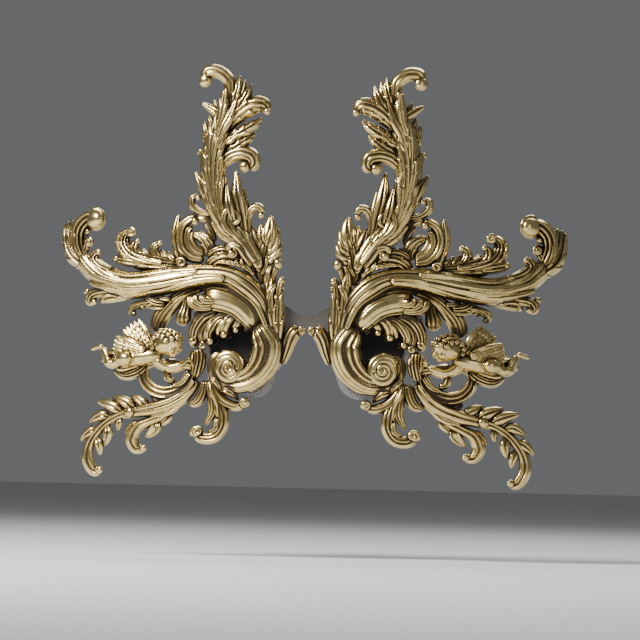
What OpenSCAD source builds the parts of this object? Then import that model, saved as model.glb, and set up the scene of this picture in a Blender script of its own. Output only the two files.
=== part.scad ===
// Rococo masquerade mask: smoke-tinted glasses that carry gilded leaf, scroll and cherub castings.
// Frame: +X to the wearer's left, front faces -Y, +Z up, origin where the bridge rests on the nose.
// Castings are drawn on the curved face of the mask as [out, up, half width] points, in millimetres:
// out is the distance from the middle plane and up is the height above the origin.

/* [Face curve] */
// Radius of the curve that the whole mask follows around the face
wrap_r = 300; // [260:10:400]
// How far the middle of the front face stands ahead of the nose
face_ahead = 6; // [4:0.5:8]

/* [Glasses front] */
// Thickness of the acetate front
front_t = 4; // [3.6:0.1:4.5]
// Thickness of each lens
lens_t = 1.8; // [1.4:0.1:2]
// How far a lens edge reaches into the groove of its rim
lens_bite = 1.2; // [0.8:0.1:1.6]
// Lowest point of the end piece that carries the hinge
end_low = 9; // [8.5:0.5:9.5]
// Highest point of the end piece
end_high = 21; // [20.5:0.5:21.5]
// Inner side of the end piece
end_in = 67; // [66:0.5:67.5]
// Outer side of the end piece
end_out = 78.5; // [78:0.5:79.5]
// Back face of the end piece
end_back = 10; // [9.5:0.1:10.2]

/* [Temples] */
// Distance from the middle plane to the inner face of a temple
temple_in = 73.5; // [73.4:0.1:73.8]
// Thickness of a temple
temple_t = 4.5; // [4:0.1:5]
// Radius of the steel wire inside a temple
core_r = 0.8; // [0.6:0.1:1]
// Gap between the end piece and an open temple
butt_gap = 0.3; // [0.25:0.05:0.5]

/* [Hinges] */
// Distance from the middle plane to a hinge pin
pin_out = 71; // [70.8:0.1:71.2]
// Distance of a hinge pin behind the nose
pin_back = 14; // [13.6:0.1:14.4]
// Radius of the hinge screw
screw_r = 0.7; // [0.5:0.05:0.8]
// Radius of a hinge knuckle
knuckle_r = 2; // [1.8:0.05:2.1]
// Running clearance of the screw in the temple's knuckle
run_gap = 0.05; // [0.02:0.01:0.1]

/* [Castings] */
// Thickness of the glue between the glasses and the castings
glue = 0.2; // [0.15:0.05:0.4]
// Thinnest that a casting gets
thin = 1.6; // [1.2:0.1:2]
// How far the laurel on the wearer's left hangs below the other one, in degrees
laurel_droop = 2.5; // [0:0.5:4]

/* [Hidden] */

gilt = [0.83, 0.72, 0.46];
smoke = [0.2, 0.19, 0.2, 0.7];
$fn = 48;
far = 400;

// ---- Curves ----

// Point b of a smooth curve at share t of the way from b to c, with a and d as the points around them
function glide(a, b, c, d, t) =
    0.5 * (2 * b + (c - a) * t + (2 * a - 5 * b + 4 * c - d) * t * t + (3 * b - a - 3 * c + d) * t * t * t);

// A smooth open curve through the points p
function curve(p, steps) = [
    for (i = [0 : len(p) - 2], k = [0 : steps - 1])
        glide(p[max(i - 1, 0)], p[i], p[i + 1], p[min(i + 2, len(p) - 1)], k / steps),
    p[len(p) - 1]
];

// A smooth closed curve through the points p
function ring(p, steps) = let (n = len(p)) [
    for (i = [0 : n - 1], k = [0 : steps - 1])
        glide(p[(i + n - 1) % n], p[i], p[(i + 1) % n], p[(i + 2) % n], k / steps)
];

function unit(v) = v / norm(v);
function flipped(p) = [for (i = [len(p) - 1 : -1 : 0]) [-p[i][0], p[i][1]]];

// The closed outline p grown by d on every side; p runs clockwise
function grown(p, d) = let (n = len(p)) [
    for (i = [0 : n - 1]) let (along = unit(p[(i + 1) % n] - p[(i + n - 1) % n])) p[i] + d * [-along[1], along[0]]
];

// Where a point that is out and up lands when it stands w in front of the curved face
function on_face(out, up, w) = [out, wrap_r - face_ahead - sqrt(pow(wrap_r + w, 2) - out * out), up];

// ---- Casting strokes ----

// Cross-section of a stroke: share of the half width, share of the height
SECTION = [[-0.8, 0], [0.8, 0], [1, 0.5], [0, 1], [-1, 0.5]];

// How deep the strokes reach below the face before their common back is cut
sink = 1.5;

// Flats on the cut that gives the castings their common back
BACK_FLATS = 72;

// One tapering stroke of a casting. path is a list of [out, up, half width],
// swell is its height as a share of its half width, and lift is how far it stands off the face.
module stroke(path, swell = 1.4, lift = 0, steps = 1) {
    p = curve(path, steps);
    n = len(p);
    s = len(SECTION);
    points = [
        for (i = [0 : n - 1])
            let (
                ahead = p[min(i + 1, n - 1)] - p[max(i - 1, 0)],
                side = unit([ahead[1], -ahead[0]]),
                half = max(p[i][2], 0.4),
                high = max(swell * half, thin) + sink
            )
            for (c = SECTION)
                on_face(p[i][0] + side[0] * half * c[0], p[i][1] + side[1] * half * c[0], lift - sink + high * c[1])
    ];
    faces = [
        [for (j = [s - 1 : -1 : 0]) j],
        [for (j = [0 : s - 1]) (n - 1) * s + j],
        for (i = [0 : n - 2], j = [0 : s - 1])
            let (a = i * s + j, b = i * s + (j + 1) % s)
            each [[a, b, a + s], [a + s, b, b + s]]
    ];
    polyhedron(points, faces);
}

// A bead of radius r that is sunk a little into the face, or into what stands lift off it
module bead(out, up, r, lift = 0, sides = 8) {
    translate(on_face(out, up, lift + 0.7 * r))
        sphere(r, $fn = sides);
}

// A leaf from its base to its tip, widest a third of the way along, with its middle pushed sideways by bow
module leaf(base, tip, half, bow = 0, swell = 1, lift = 0) {
    along = tip - base;
    side = [along[1], -along[0]] * bow;
    stroke([
        [base[0], base[1], 0.5 * half],
        [base[0] + 0.33 * along[0] + side[0], base[1] + 0.33 * along[1] + side[1], half],
        [base[0] + 0.7 * along[0] + 0.8 * side[0], base[1] + 0.7 * along[1] + 0.8 * side[1], 0.75 * half],
        [tip[0], tip[1], 0.25 * half]
    ], swell, lift);
}

// Everything that is not in front of the glue
module behind_glue() {
    translate([0, wrap_r - face_ahead, -far / 2])
        cylinder(h = far * 2, r = (wrap_r + glue) / cos(180 / BACK_FLATS), $fn = BACK_FLATS);
}

// One casting: the first child, cut to the face curve and hollowed where it beds on the castings under it.
// A resize() of zeros keeps every size and makes the casting a single facetted solid.
module casting(tone = 1) {
    color(gilt * tone)
        resize([0, 0, 0])
            difference() {
                children(0);
                behind_glue();
                for (i = [1 : 1 : $children - 1]) children(i);
            }
}

// The wearer's left side is drawn, and the wearer's right side is its mirror image
module other_side() {
    mirror([1, 0, 0]) children();
}

// ---- Glasses ----

// Half of the front's outline, from the top of the bridge round to the underside of the bridge
FRONT_HALF = [
    [0, 21], [6, 22], [13, 26.5], [24, 32], [40, 36.5], [58, 37], [70, 33], [77.5, 25], [78, 12], [74, 0],
    [69, -14], [60, -27], [47, -34.5], [35, -35.5], [26, -31.5], [21.5, -23.5], [18.5, -12], [16, -2], [13, 4.5],
    [9.5, 8.5], [5, 11.2], [0, 12]
];

// Opening of the rim that a lens fills
APERTURE = [
    [23, 25], [38, 31.5], [54, 32], [63, 28], [66.5, 19], [67.5, 8], [66, -4], [62, -15], [55, -24],
    [46, -30], [35, -31], [28.5, -27], [24.5, -18], [21.5, -6], [19.5, 6], [20, 17]
];

// The space between two surfaces that stand w0 and w1 in front of the curved face
module face_shell(w0, w1) {
    translate([0, wrap_r - face_ahead, -far / 2])
        difference() {
            cylinder(h = far, r = wrap_r + w1, $fn = 200);
            translate([0, 0, -1]) cylinder(h = far + 2, r = wrap_r + w0, $fn = 200);
        }
}

// An outline in out and up, pushed through the whole depth of the front
module pushed(outline) {
    translate([0, 60, 0])
        rotate([90, 0, 0])
            linear_extrude(height = 120) polygon(outline);
}

// Material between two surfaces that fills an outline
module plate(outline, w0, w1) {
    intersection() {
        pushed(outline);
        face_shell(w0, w1);
    }
}

lens_mid = -front_t / 2;
groove_room = 0.05;

module lens_shape(room) {
    plate(grown(ring(APERTURE, 3), lens_bite + room), lens_mid - lens_t / 2 - room, lens_mid + lens_t / 2 + room);
}

module end_piece() {
    intersection() {
        translate([end_in, 0, end_low])
            cube([end_out - end_in, end_back, end_high - end_low]);
        translate([0, wrap_r - face_ahead, end_low - 1])
            cylinder(h = end_high - end_low + 2, r = wrap_r - 1, $fn = 200);
    }
}

rivet_r = 0.6;
rivet_room = 0.02;
FRONT_RIVET_UPS = [12, 18];
front_rivet_out = 68.4;
TEMPLE_RIVET_BACKS = [21, 28];
temple_rivet_up = 15;

module front_rivet_pair(r) {
    for (up = FRONT_RIVET_UPS)
        translate([front_rivet_out, 0, up])
            rotate([-90, 0, 0])
                translate([0, 0, 7.9]) cylinder(h = 3.5, r = r);
}

module temple_rivet_pair(r) {
    for (back = TEMPLE_RIVET_BACKS)
        translate([temple_in - 1.3, back, temple_rivet_up])
            rotate([0, 90, 0]) cylinder(h = 4, r = r);
}

module frame_front() {
    half = curve(FRONT_HALF, 3);
    color(smoke)
        difference() {
            union() {
                plate(concat(half, flipped(half)), -front_t, 0);
                end_piece();
                other_side() end_piece();
            }
            for (side = [0, 1])
                mirror([side, 0, 0]) {
                    pushed(ring(APERTURE, 3));
                    lens_shape(groove_room);
                    front_rivet_pair(rivet_r + rivet_room);
                }
        }
}

module lens() {
    color([0.1, 0.1, 0.12, 0.8]) lens_shape(0);
}

module nose_pad() {
    color([0.85, 0.85, 0.85, 0.6])
        intersection() {
            hull() {
                translate([16.5, 0.6, -1]) sphere(2.3, $fn = 20);
                translate([20.5, 1.2, -14]) sphere(2.3, $fn = 20);
                translate([16.8, 4, -7]) sphere(1.8, $fn = 20);
            }
            translate([0, wrap_r - face_ahead, -30])
                cylinder(h = 60, r = wrap_r - front_t - 0.05, $fn = 200);
        }
}

front_knuckles = [[10, 3.2], [16.8, 3.2]];
temple_knuckle = [13.35, 3.3];
leaf_t = 1;

module knuckle(low, high, bore) {
    translate([pin_out, pin_back, low])
        difference() {
            cylinder(h = high, r = knuckle_r);
            translate([0, 0, -1]) cylinder(h = high + 2, r = bore);
        }
}

module hinge_front() {
    color([0.78, 0.76, 0.7])
        difference() {
            union() {
                translate([end_in + 0.4, end_back, 10]) cube([5.6, leaf_t, 10]);
                for (k = front_knuckles) {
                    knuckle(k[0], k[1], screw_r + 0.02);
                    difference() {
                        translate([pin_out - 1.8, end_back, k[0]]) cube([1.8, pin_back - end_back, k[1]]);
                        translate([pin_out, pin_back, k[0] - 1]) cylinder(h = k[1] + 2, r = knuckle_r - 0.5);
                    }
                }
            }
            front_rivet_pair(rivet_r + rivet_room);
        }
}

module hinge_temple() {
    color([0.78, 0.76, 0.7])
        difference() {
            union() {
                translate([temple_in - leaf_t + 0.1, pin_back + 2.5, 11]) cube([leaf_t - 0.1, 15.5, 8]);
                knuckle(temple_knuckle[0], temple_knuckle[1], screw_r + run_gap);
                difference() {
                    translate([pin_out + 0.6, pin_back, temple_knuckle[0]])
                        cube([temple_in - pin_out - 0.6, 3.5, temple_knuckle[1]]);
                    translate([pin_out, pin_back, temple_knuckle[0] - 1])
                        cylinder(h = temple_knuckle[1] + 2, r = knuckle_r - 0.5);
                }
            }
            temple_rivet_pair(rivet_r + rivet_room);
        }
}

module hinge_screw() {
    color([0.7, 0.7, 0.7])
        translate([pin_out, pin_back, 0])
            difference() {
                union() {
                    translate([0, 0, 9.6]) cylinder(h = 10.4, r = screw_r);
                    translate([0, 0, 20]) cylinder(h = 0.9, r = 1.5);
                }
                translate([-2, -0.2, 20.5]) cube([4, 0.4, 1]);
            }
}

module front_rivets() {
    color([0.7, 0.7, 0.7]) {
        front_rivet_pair(rivet_r);
        other_side() front_rivet_pair(rivet_r);
    }
}

module temple_rivets() {
    color([0.7, 0.7, 0.7]) temple_rivet_pair(rivet_r);
}

core_at = [temple_in + temple_t / 2, 34, 14.6];
core_length = 54;

// Side outline of a temple as [back, up], along its top to the tip and back along its underside
temple_start = end_back + butt_gap;
TEMPLE_TOP = [
    [temple_start, 21], [34, 20.5], [62, 19], [88, 17.6], [102, 13], [112, 4], [119, -8], [124, -19], [123.5, -23.5]
];
TEMPLE_UNDER = [[119.5, -25], [116.5, -21], [111, -10], [104, -1], [96, 6], [86, 9.6], [62, 10], [34, 9.5], [temple_start, 9]];

module temple() {
    color(smoke)
        difference() {
            translate([temple_in, 0, 0])
                rotate([90, 0, 90])
                    linear_extrude(height = temple_t)
                        polygon(concat(curve(TEMPLE_TOP, 3), curve(TEMPLE_UNDER, 3)));
            temple_rivet_pair(rivet_r + rivet_room);
            translate(core_at) rotate([-90, 0, 0]) cylinder(h = core_length, r = core_r + rivet_room);
        }
}

module temple_core() {
    color([0.7, 0.7, 0.7])
        translate(core_at) rotate([-90, 0, 0]) cylinder(h = core_length, r = core_r);
}

// ---- Castings round the eye ----

volute_at = [53.5, -16.2];

// One ring of the volute: turns outwards from the middle, from angle a0 to a1
function volute(a0, a1, r0, r1, half, count) = [
    for (i = [0 : count])
        let (t = i / count, a = a0 + t * (a1 - a0), r = r0 + t * (r1 - r0))
        [volute_at[0] + r * cos(a), volute_at[1] + r * sin(a), half]
];

module eye_scroll_shape() {
    stroke([
        [33, 13, 4], [28.5, 7, 7], [25.7, -1, 10], [28.5, -13, 9.5], [36, -22, 8], [46, -26.5, 6.5],
        [57, -25.5, 5], [64, -19, 4.5], [64.5, -11, 4], [58.5, -7, 3]
    ], swell = 1.1);
    stroke(volute(110, 420, 9, 5.5, 2.6, 7), swell = 3.6, steps = 1);
    bead(volute_at[0], volute_at[1], 5.5, sides = 12);
}

module eye_lobes_shape() {
    stroke([[35.5, 11.5, 1.6], [40, 15.5, 1.8], [46.5, 18.6, 2], [54, 21, 2], [63, 22, 2.4]], swell = 2);
    stroke([[50, 21, 2.5], [60, 20, 3.2], [66, 14, 3.4], [69, 8, 3], [67, 2, 2.2]], swell = 1.7);
    stroke([[45, 21, 2.5], [52.5, 20, 3.6], [56.5, 14.5, 3.8], [57.5, 6, 2.4]], swell = 1.7);
    stroke([[40, 17, 2], [45.5, 17.3, 2.6], [48.5, 14.5, 2.4], [49, 10, 1.6]], swell = 1.9);
    stroke([[36, 13.5, 1.6], [40, 13, 2], [42, 10, 1.5]], swell = 1.9);
    stroke([[62, 25, 3], [72, 20.5, 3.6], [77.5, 13, 3.4], [79, 5, 2.8], [77, -1.5, 2.4]], swell = 2);
    stroke([[62, 22, 3], [69.5, 15, 3.2], [73, 8, 3], [71.5, 1, 2.6]], swell = 1.8);
    bead(79.5, 3, 2.8, lift = 1.5);
    bead(72.5, -1, 2.6, lift = 2);
}

module brow_band_shape() {
    stroke([
        [32, 11, 3.4], [37, 18.5, 5.4], [44.5, 25, 7.2], [53.5, 29.2, 8.4], [63, 31.7, 9.2], [73, 32.5, 8]
    ], swell = 1);
    stroke([[68, 26, 2.2], [76, 25.5, 2.8], [81, 29, 2.8], [81.5, 35, 2]], swell = 3.8);
    stroke([[66, 27.5, 2], [74, 27.5, 2.4], [77.5, 31, 2.2], [77.5, 35.5, 1.6]], swell = 5);
    stroke([[62, 30, 2], [69, 29.5, 2.4], [72.5, 32, 2.2], [72, 35.5, 1.6]], swell = 5);
}

module bridge_curl_shape() {
    stroke([[17, -12, 2], [14, -3, 2.8], [11.5, 5, 3.2], [8, 10.5, 3.2], [4.6, 12, 2.8]], swell = 2);
    bead(3.4, 11.3, 2.6, lift = 1.4);
}

module inner_leaf_shape() {
    stroke([[19, -6, 2.4], [18, 10, 3.2], [19, 25, 3.4], [19.3, 37, 3], [17, 46.5, 2.6]], swell = 2.4);
    stroke([[21, 0, 2], [22.5, 18, 3], [25, 34, 3.2], [26.5, 46, 2.6], [29, 58, 1.2]], swell = 2);
    leaf([21, 27], [16.2, 41], 1.9, swell = 1.8);
    stroke([[24.5, 38, 1.8], [23.6, 48, 1.8], [20.4, 56.5, 1.8]], swell = 2.2);
    bead(20, 56.5, 3.3, lift = 1);
}

// ---- Wing castings ----

module wing_stem_shape() {
    stroke([
        [23, 9, 2.6], [27, 20, 4], [33, 31, 5.6], [43, 40, 7], [55, 46, 6.2], [69, 47, 6.4], [85, 45.5, 7.4],
        [105, 42, 8.2], [125, 40.5, 8], [141, 44.5, 7], [151, 50.5, 6.4], [158, 57.5, 6], [162, 63, 5]
    ], swell = 1.5);
    stroke([[136, 49, 3], [146, 53, 3.4], [151, 58.5, 3.2], [147, 64, 2.4]], swell = 2.6);
}

module wing_curl_shape() {
    stroke([[158, 55, 4], [168, 62, 4.4], [173, 71, 3.4], [174.2, 80, 2.6], [175.5, 87, 1]], swell = 2);
    stroke([[160, 58, 4], [168, 70, 3.6], [171, 81, 2.8], [173.4, 89, 0.8]], swell = 2.2);
    stroke([[159, 60, 4], [164, 72, 5], [163.5, 82, 5.2], [157.5, 89, 5.2], [150, 89.5, 5]], swell = 1.8);
    bead(149.5, 89, 6.5, lift = 1, sides = 12);
    stroke([[160, 61, 2.4], [157.8, 66.5, 2.6], [155.4, 71, 2.4]], swell = 2.6);
    bead(155.1, 72.3, 4.3, lift = 1);
    stroke([[164, 80, 2.4], [160, 81, 2], [157, 80.3, 2]], swell = 3);
    bead(156.7, 80.3, 3, lift = 2);
}

module spray_leaf_shape() {
    stroke([
        [90, 52.5, 4], [103, 54, 5.4], [115, 56.5, 6.6], [125, 60.5, 6.4], [131, 68, 5], [130.5, 75, 4.2],
        [125.5, 78, 3.4]
    ], swell = 1.4);
    bead(125, 77.8, 3.6, lift = 1.6);
    stroke([[114, 54, 3], [127, 56.5, 3.8], [137, 58.5, 2.6]], swell = 2);
    stroke([[119, 58, 2.6], [123, 65, 2.8], [121, 72, 2.2]], swell = 2.8);
    stroke([[111, 57, 2.4], [115, 61.5, 2.4], [117.3, 66, 1.2]], swell = 2.4);
    stroke([[100, 55, 2.8], [106.5, 60, 2.8], [108, 66.5, 2.6], [104, 70, 2.2]], swell = 2);
    leaf([96, 55], [103, 65.5], 2.4, bow = 0.1, swell = 1.8);
    leaf([90, 55], [98.5, 64], 2.4, bow = 0.1, swell = 1.8);
    bead(87.5, 54.5, 3.8, lift = 3);
}

module lower_leaf_shape() {
    stroke([[119, 35, 3], [131, 36, 4.4], [143, 37, 4.6], [152, 35, 4], [154.5, 30, 3.2], [151, 28.3, 2]], swell = 1.7);
    stroke([[126, 33.5, 2], [137, 32, 2.4], [143.8, 31, 2.2], [143.6, 28.4, 1.6]], swell = 2);
    bead(157, 38, 2.4, lift = 1);
    stroke([[150, 38, 2], [157, 38, 1.6]], swell = 2);
}

module mid_leaf_shape() {
    stroke([[98, 29, 3], [109, 30.5, 3.6], [118.5, 29, 3], [123.5, 24.5, 2.7], [122.3, 19.5, 2]], swell = 1.7);
    bead(116, 26.3, 2.2, lift = 1);
    stroke([[98, 30, 3], [106, 31, 3.4], [110.8, 34.6, 3], [108.5, 38.8, 2.4]], swell = 2.4);
    stroke([[94, 33, 2], [101, 34, 2], [103.5, 38, 1.4]], swell = 3.6);
}

module strap_shape() {
    stroke([[70, 41, 2.4], [80, 37.5, 3], [90, 32, 4], [97.5, 25, 4.8], [102.5, 18, 5], [105, 9, 4.4]], swell = 1.1);
    stroke([[84, 33, 2.4], [84.5, 26, 3.2], [86.2, 19, 4.4], [86.2, 13.5, 3.4]], swell = 1.7);
}

// ---- Crest castings ----

module plume_shape() {
    stroke([
        [33, 45, 2], [37, 59, 3], [46, 70, 5.4], [57, 80, 6.6], [64, 95, 7], [67.5, 112, 8.2], [68, 130, 8.6],
        [65, 146, 7.8], [60, 160, 5.6], [56.5, 176, 3.4]
    ], swell = 1.3);
    stroke([[57, 172, 3], [58.5, 183, 3], [65.5, 189.5, 3], [73, 189.8, 3.2], [76.8, 185, 3.2]], swell = 1.9);
    bead(75.8, 183, 3.4, lift = 1);
    stroke([[46, 73.5, 1.8], [54, 77, 2], [59.5, 84.5, 2], [57.5, 92.5, 1.8], [51, 93.5, 1.4]], swell = 5.4);
    stroke([[64, 88, 2.6], [72, 102, 3], [77.5, 113, 2.5], [81.5, 120.2, 0.8]], swell = 1.8);
    stroke([[66, 90, 2], [76, 91.3, 2.1], [82.3, 96, 2.1], [82.8, 102, 1.9], [77.8, 102.6, 1.5]], swell = 2.2);
    stroke([[44, 74, 2.6], [47, 90, 3.4], [50.3, 104, 3.8], [52, 121, 0.8]], swell = 1.8);
    stroke([[45, 80, 2.6], [45.2, 95, 2.8], [46.6, 108.6, 0.8]], swell = 1.8);
    stroke([[42, 76, 2.4], [43, 87, 2.4], [40, 94.2, 2.4], [34.6, 95.3, 2.3], [32, 91, 2]], swell = 2);
    bead(32.9, 89.6, 1.9, lift = 1, sides = 8);
    stroke([
        [64, 124, 3], [56, 130.5, 3.2], [48, 133, 3.2], [41, 131, 3.2], [38.8, 125.5, 3], [42.5, 121.7, 2.6]
    ], swell = 1.9);
    bead(46, 123, 2.8, lift = 1);
    leaf([60, 134], [39, 147], 3.4, bow = -0.05, swell = 1.7);
    leaf([60, 144], [34.2, 157.2], 3.4, bow = -0.08, swell = 1.7);
    stroke([[60, 150, 3], [51, 160, 4], [41.5, 166.3, 4.4], [33, 166.8, 3.8], [29.4, 161, 2]], swell = 1.7);
    leaf([57, 164], [50.8, 187], 2.6, bow = -0.06, swell = 1.8);
    leaf([55, 160], [42.2, 181], 2.8, bow = -0.06, swell = 1.8);
    leaf([59, 160], [61, 177.3], 2.2, swell = 1.8);
    stroke([[61, 155, 3], [67.5, 161.5, 2.8], [77.8, 168, 0.8]], swell = 1.9);
    leaf([60, 157], [69.3, 170.4], 2.2, bow = 0.08, swell = 1.8);
    leaf([69, 140], [75.3, 155.4], 2.4, bow = 0.1, swell = 1.8);
    stroke([[71, 120, 2.4], [75.4, 128, 1.9], [77.4, 134.3, 1.6], [79.6, 131.8, 1.2]], swell = 2);
}

module crest_leaf_shape() {
    stroke([[32, 42, 2], [33.3, 52, 3], [33.8, 62, 3.8], [31, 71, 3.8]], swell = 1.5);
    leaf([31, 66], [27, 89], 3.6, bow = -0.08, swell = 1.4);
    leaf([30, 64], [21, 80], 3, bow = -0.06, swell = 1.4);
    leaf([31, 60], [18.4, 70.5], 3.4, bow = -0.1, swell = 1.3);
    leaf([31, 66], [34.8, 83.2], 2.6, swell = 1.6);
    leaf([33, 62], [41.5, 81.8], 2.8, bow = 0.06, swell = 1.6);
}

module side_shell_shape() {
    stroke([[86, 50, 3], [91.3, 66, 3.2], [93.3, 78, 3], [91.4, 90, 1]], swell = 1.6);
    stroke([
        [70, 56.5, 2.4], [81, 59, 3], [88, 65.5, 3.2], [90, 74, 3], [87.5, 82.5, 2.8], [80.5, 87.3, 2.4], [76.8, 85, 1.8]
    ], swell = 2);
    stroke([[70, 60, 2.6], [79, 63, 3.2], [84, 70, 3], [83.5, 78, 2.6], [80, 81.5, 1.6]], swell = 1.5);
    stroke([[64, 82, 2], [70.5, 87.3, 2.4], [77, 87.8, 2.2]], swell = 2);
    stroke([[66, 59, 2.6], [67.5, 67, 3.4], [72.5, 73.5, 3.2], [80, 75.5, 2]], swell = 1.4);
}

module flower_leaf_shape() {
    stroke([[45, 58, 3], [55, 61, 5], [64, 58.5, 4.4], [70.5, 52, 1.8]], swell = 1.7);
    stroke([[47, 61, 2.6], [57, 66, 3.6], [65, 64.5, 3], [67.5, 61, 1.4]], swell = 2.2);
    stroke([[38, 54, 2.2], [43.5, 62.5, 2.4], [48, 68.3, 2.4], [53.5, 68.8, 2.3], [55.2, 64.5, 1.8]], swell = 3.6);
    leaf([37, 47.5], [50, 60], 2.2, bow = -0.05, swell = 3);
    bead(52.6, 63, 2.4, lift = 6);
}

// ---- Hanging castings ----

module ribbon_loop_shape() {
    stroke([[73, -2, 3], [72, -9, 3.4], [73, -16, 3.4], [75, -24, 3]], swell = 2.2);
    stroke([
        [102, -6, 2.6], [110, -10, 3.2], [113.8, -18, 3.4], [112.4, -26, 3.4], [106.5, -32, 3.6], [98, -34.2, 3.8],
        [89, -32.3, 3.6], [81.5, -26.5, 3.4], [77, -18, 3]
    ], swell = 1.7);
    stroke([[97, -16, 2], [95.2, -24, 2.2], [89.6, -26.5, 2]], swell = 2.4);
    stroke([[75, -17, 2.6], [86, -14.5, 2.8], [98, -13, 3]], swell = 2);
}

module cherub_shape() {
    // head, chin and hair
    bead(96.3, 4, 10, lift = 4, sides = 16);
    bead(102, 6, 6.6, lift = 3, sides = 12);
    bead(98, 9, 6, lift = 9, sides = 12);
    bead(91.5, -4.6, 3.6, lift = 8);
    // body from neck to hip
    stroke([[99, -4, 5], [108, -5.5, 6.4], [118, -7.5, 7.2], [127, -8.5, 7.4], [132, -9, 5]], swell = 1.7, lift = 3);
    // front wing
    stroke([[109, -2, 3], [117, 3.5, 5], [126, 6.6, 4.6], [134.8, 9.6, 1.2]], swell = 1.2, lift = 9);
    stroke([[112, -3, 3], [122, -0.5, 3.6], [132.4, 4.2, 1.6]], swell = 1.4, lift = 9);
    // back wing
    stroke([[107, 0, 3], [112, 8.5, 4], [119, 12, 4], [128, 16.6, 1.2]], swell = 1.1, lift = 2);
    // leg that bends at the knee, with its foot
    stroke([[128, -8, 5], [135.5, -11.8, 3.6], [137.8, -10.4, 3], [141, -3, 2.4], [142.8, 2.6, 2.2]], swell = 1.8, lift = 5);
    stroke([[142.2, 2.6, 2.2], [147, 0.4, 1.9], [151.4, -0.8, 2]], swell = 2, lift = 5);
    // far leg and its toes
    stroke([[130, -2, 4], [138, -4.5, 2.6], [141, -9, 2.2], [143.4, -11, 1.8]], swell = 1.6, lift = 2);
    // arms
    stroke([[106, -10, 4], [99, -14, 3.4], [93, -14, 2.8], [84, -10.4, 2.3], [81.4, -7.4, 2]], swell = 1.7, lift = 5);
    stroke([[103, -8, 3], [95, -16.6, 2.6], [84, -13, 2], [80.2, -11, 1.8]], swell = 1.7, lift = 4);
    // scarf across the body and its hanging folds
    stroke([[103, -10, 2.6], [111, -12, 3.6], [118, -18.4, 4.2], [127, -21.4, 3.6], [134.5, -16.5, 1.4]], swell = 1.8);
}

module laurel_shape() {
    stroke([
        [75, -22, 2.8], [79, -29, 3.5], [86, -36, 4.1], [95, -41, 4.3], [105, -44, 4.2], [121, -47, 3],
        [130, -49, 2.6], [139, -54, 2.5], [147, -62, 2.6], [152.3, -71.5, 2.9], [152.8, -81, 3.3], [148.5, -88.8, 3.2],
        [142.2, -89.6, 2]
    ], swell = 1.7);
    leaf([110, -44], [121.6, -35.2], 3, bow = -0.1, swell = 1.4);
    leaf([120, -45], [135.7, -35.8], 3.2, bow = -0.08, swell = 1.4);
    leaf([129, -48], [146.6, -38.8], 3.4, bow = -0.06, swell = 1.4);
    leaf([137, -51.5], [152, -56.5], 3.2, bow = -0.22, swell = 1.4);
    leaf([146, -60], [158, -68], 3, bow = -0.16, swell = 1.4);
    leaf([140, -56], [141, -71.5], 2.8, bow = 0.12, swell = 1.4);
    leaf([148, -65], [143.6, -78], 2.6, bow = 0.08, swell = 1.4);
    stroke([
        [88, -41, 2.4], [98, -48.4, 2.6], [108, -53.2, 2.7], [116.5, -57.5, 3.2], [120.4, -65, 3.6],
        [117.4, -72.3, 3.2], [110.5, -72.9, 1.9]
    ], swell = 1.7);
    leaf([103, -53], [111, -64.3], 3, bow = 0.12, swell = 1.4);
    leaf([115, -55], [125.2, -62.8], 2.4, bow = -0.1, swell = 1.6);
    bead(122.6, -46.8, 3.8, lift = 0.8);
}

module tendrils_shape() {
    stroke([[66, -22, 3], [61, -32, 3.2], [54.5, -38.4, 3.2], [47, -41, 2.8], [42, -39.6, 2.6]], swell = 1.7);
    bead(40.6, -38, 3.4, lift = 0.8);
    leaf([59, -31], [45.2, -36.4], 2.4, bow = 0.14, swell = 2.4);
    stroke([
        [63, -27, 3], [59, -38, 3], [56, -48, 3.5], [56.8, -57, 3.6], [62, -64, 3.6], [70, -64.6, 3.6], [73.6, -61, 3]
    ], swell = 1.7);
    bead(74, -60, 4.2, lift = 0.8);
    stroke([[67, -24, 2.6], [63.4, -36, 3], [63.6, -47, 2.6], [68.3, -55.2, 1]], swell = 1.8);
    stroke([[69, -22, 2.4], [70.4, -31, 2.9], [74, -38, 3], [79.8, -39.8, 1.6]], swell = 1.9);
}

// ---- Castings as they are fitted together ----

module strap() { casting() { strap_shape(); } }
module wing_stem() { casting() { wing_stem_shape(); strap_shape(); } }
module brow_band() { casting(0.95) { brow_band_shape(); wing_stem_shape(); strap_shape(); } }
module eye_scroll() { casting() { eye_scroll_shape(); brow_band_shape(); wing_stem_shape(); } }
module eye_lobes() { casting() { eye_lobes_shape(); eye_scroll_shape(); brow_band_shape(); } }
module inner_leaf() { casting() { inner_leaf_shape(); eye_scroll_shape(); wing_stem_shape(); } }
module bridge_curl() { casting() { bridge_curl_shape(); inner_leaf_shape(); eye_scroll_shape(); } }
module wing_curl() { casting() { wing_curl_shape(); wing_stem_shape(); } }
module spray_leaf() { casting() { spray_leaf_shape(); wing_stem_shape(); } }
module lower_leaf() { casting() { lower_leaf_shape(); wing_stem_shape(); } }
module mid_leaf() { casting() { mid_leaf_shape(); wing_stem_shape(); strap_shape(); } }
module plume() { casting() { plume_shape(); wing_stem_shape(); } }
module side_shell() { casting() { side_shell_shape(); plume_shape(); wing_stem_shape(); spray_leaf_shape(); } }
module flower_leaf() { casting() { flower_leaf_shape(); plume_shape(); wing_stem_shape(); side_shell_shape(); } }
module crest_leaf() {
    casting() {
        crest_leaf_shape();
        plume_shape();
        wing_stem_shape();
        inner_leaf_shape();
        flower_leaf_shape();
    }
}
module ribbon_loop() { casting() { ribbon_loop_shape(); eye_lobes_shape(); eye_scroll_shape(); } }
module cherub() { casting() { cherub_shape(); strap_shape(); ribbon_loop_shape(); } }
module tendrils() { casting() { tendrils_shape(); eye_scroll_shape(); ribbon_loop_shape(); } }

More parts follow.
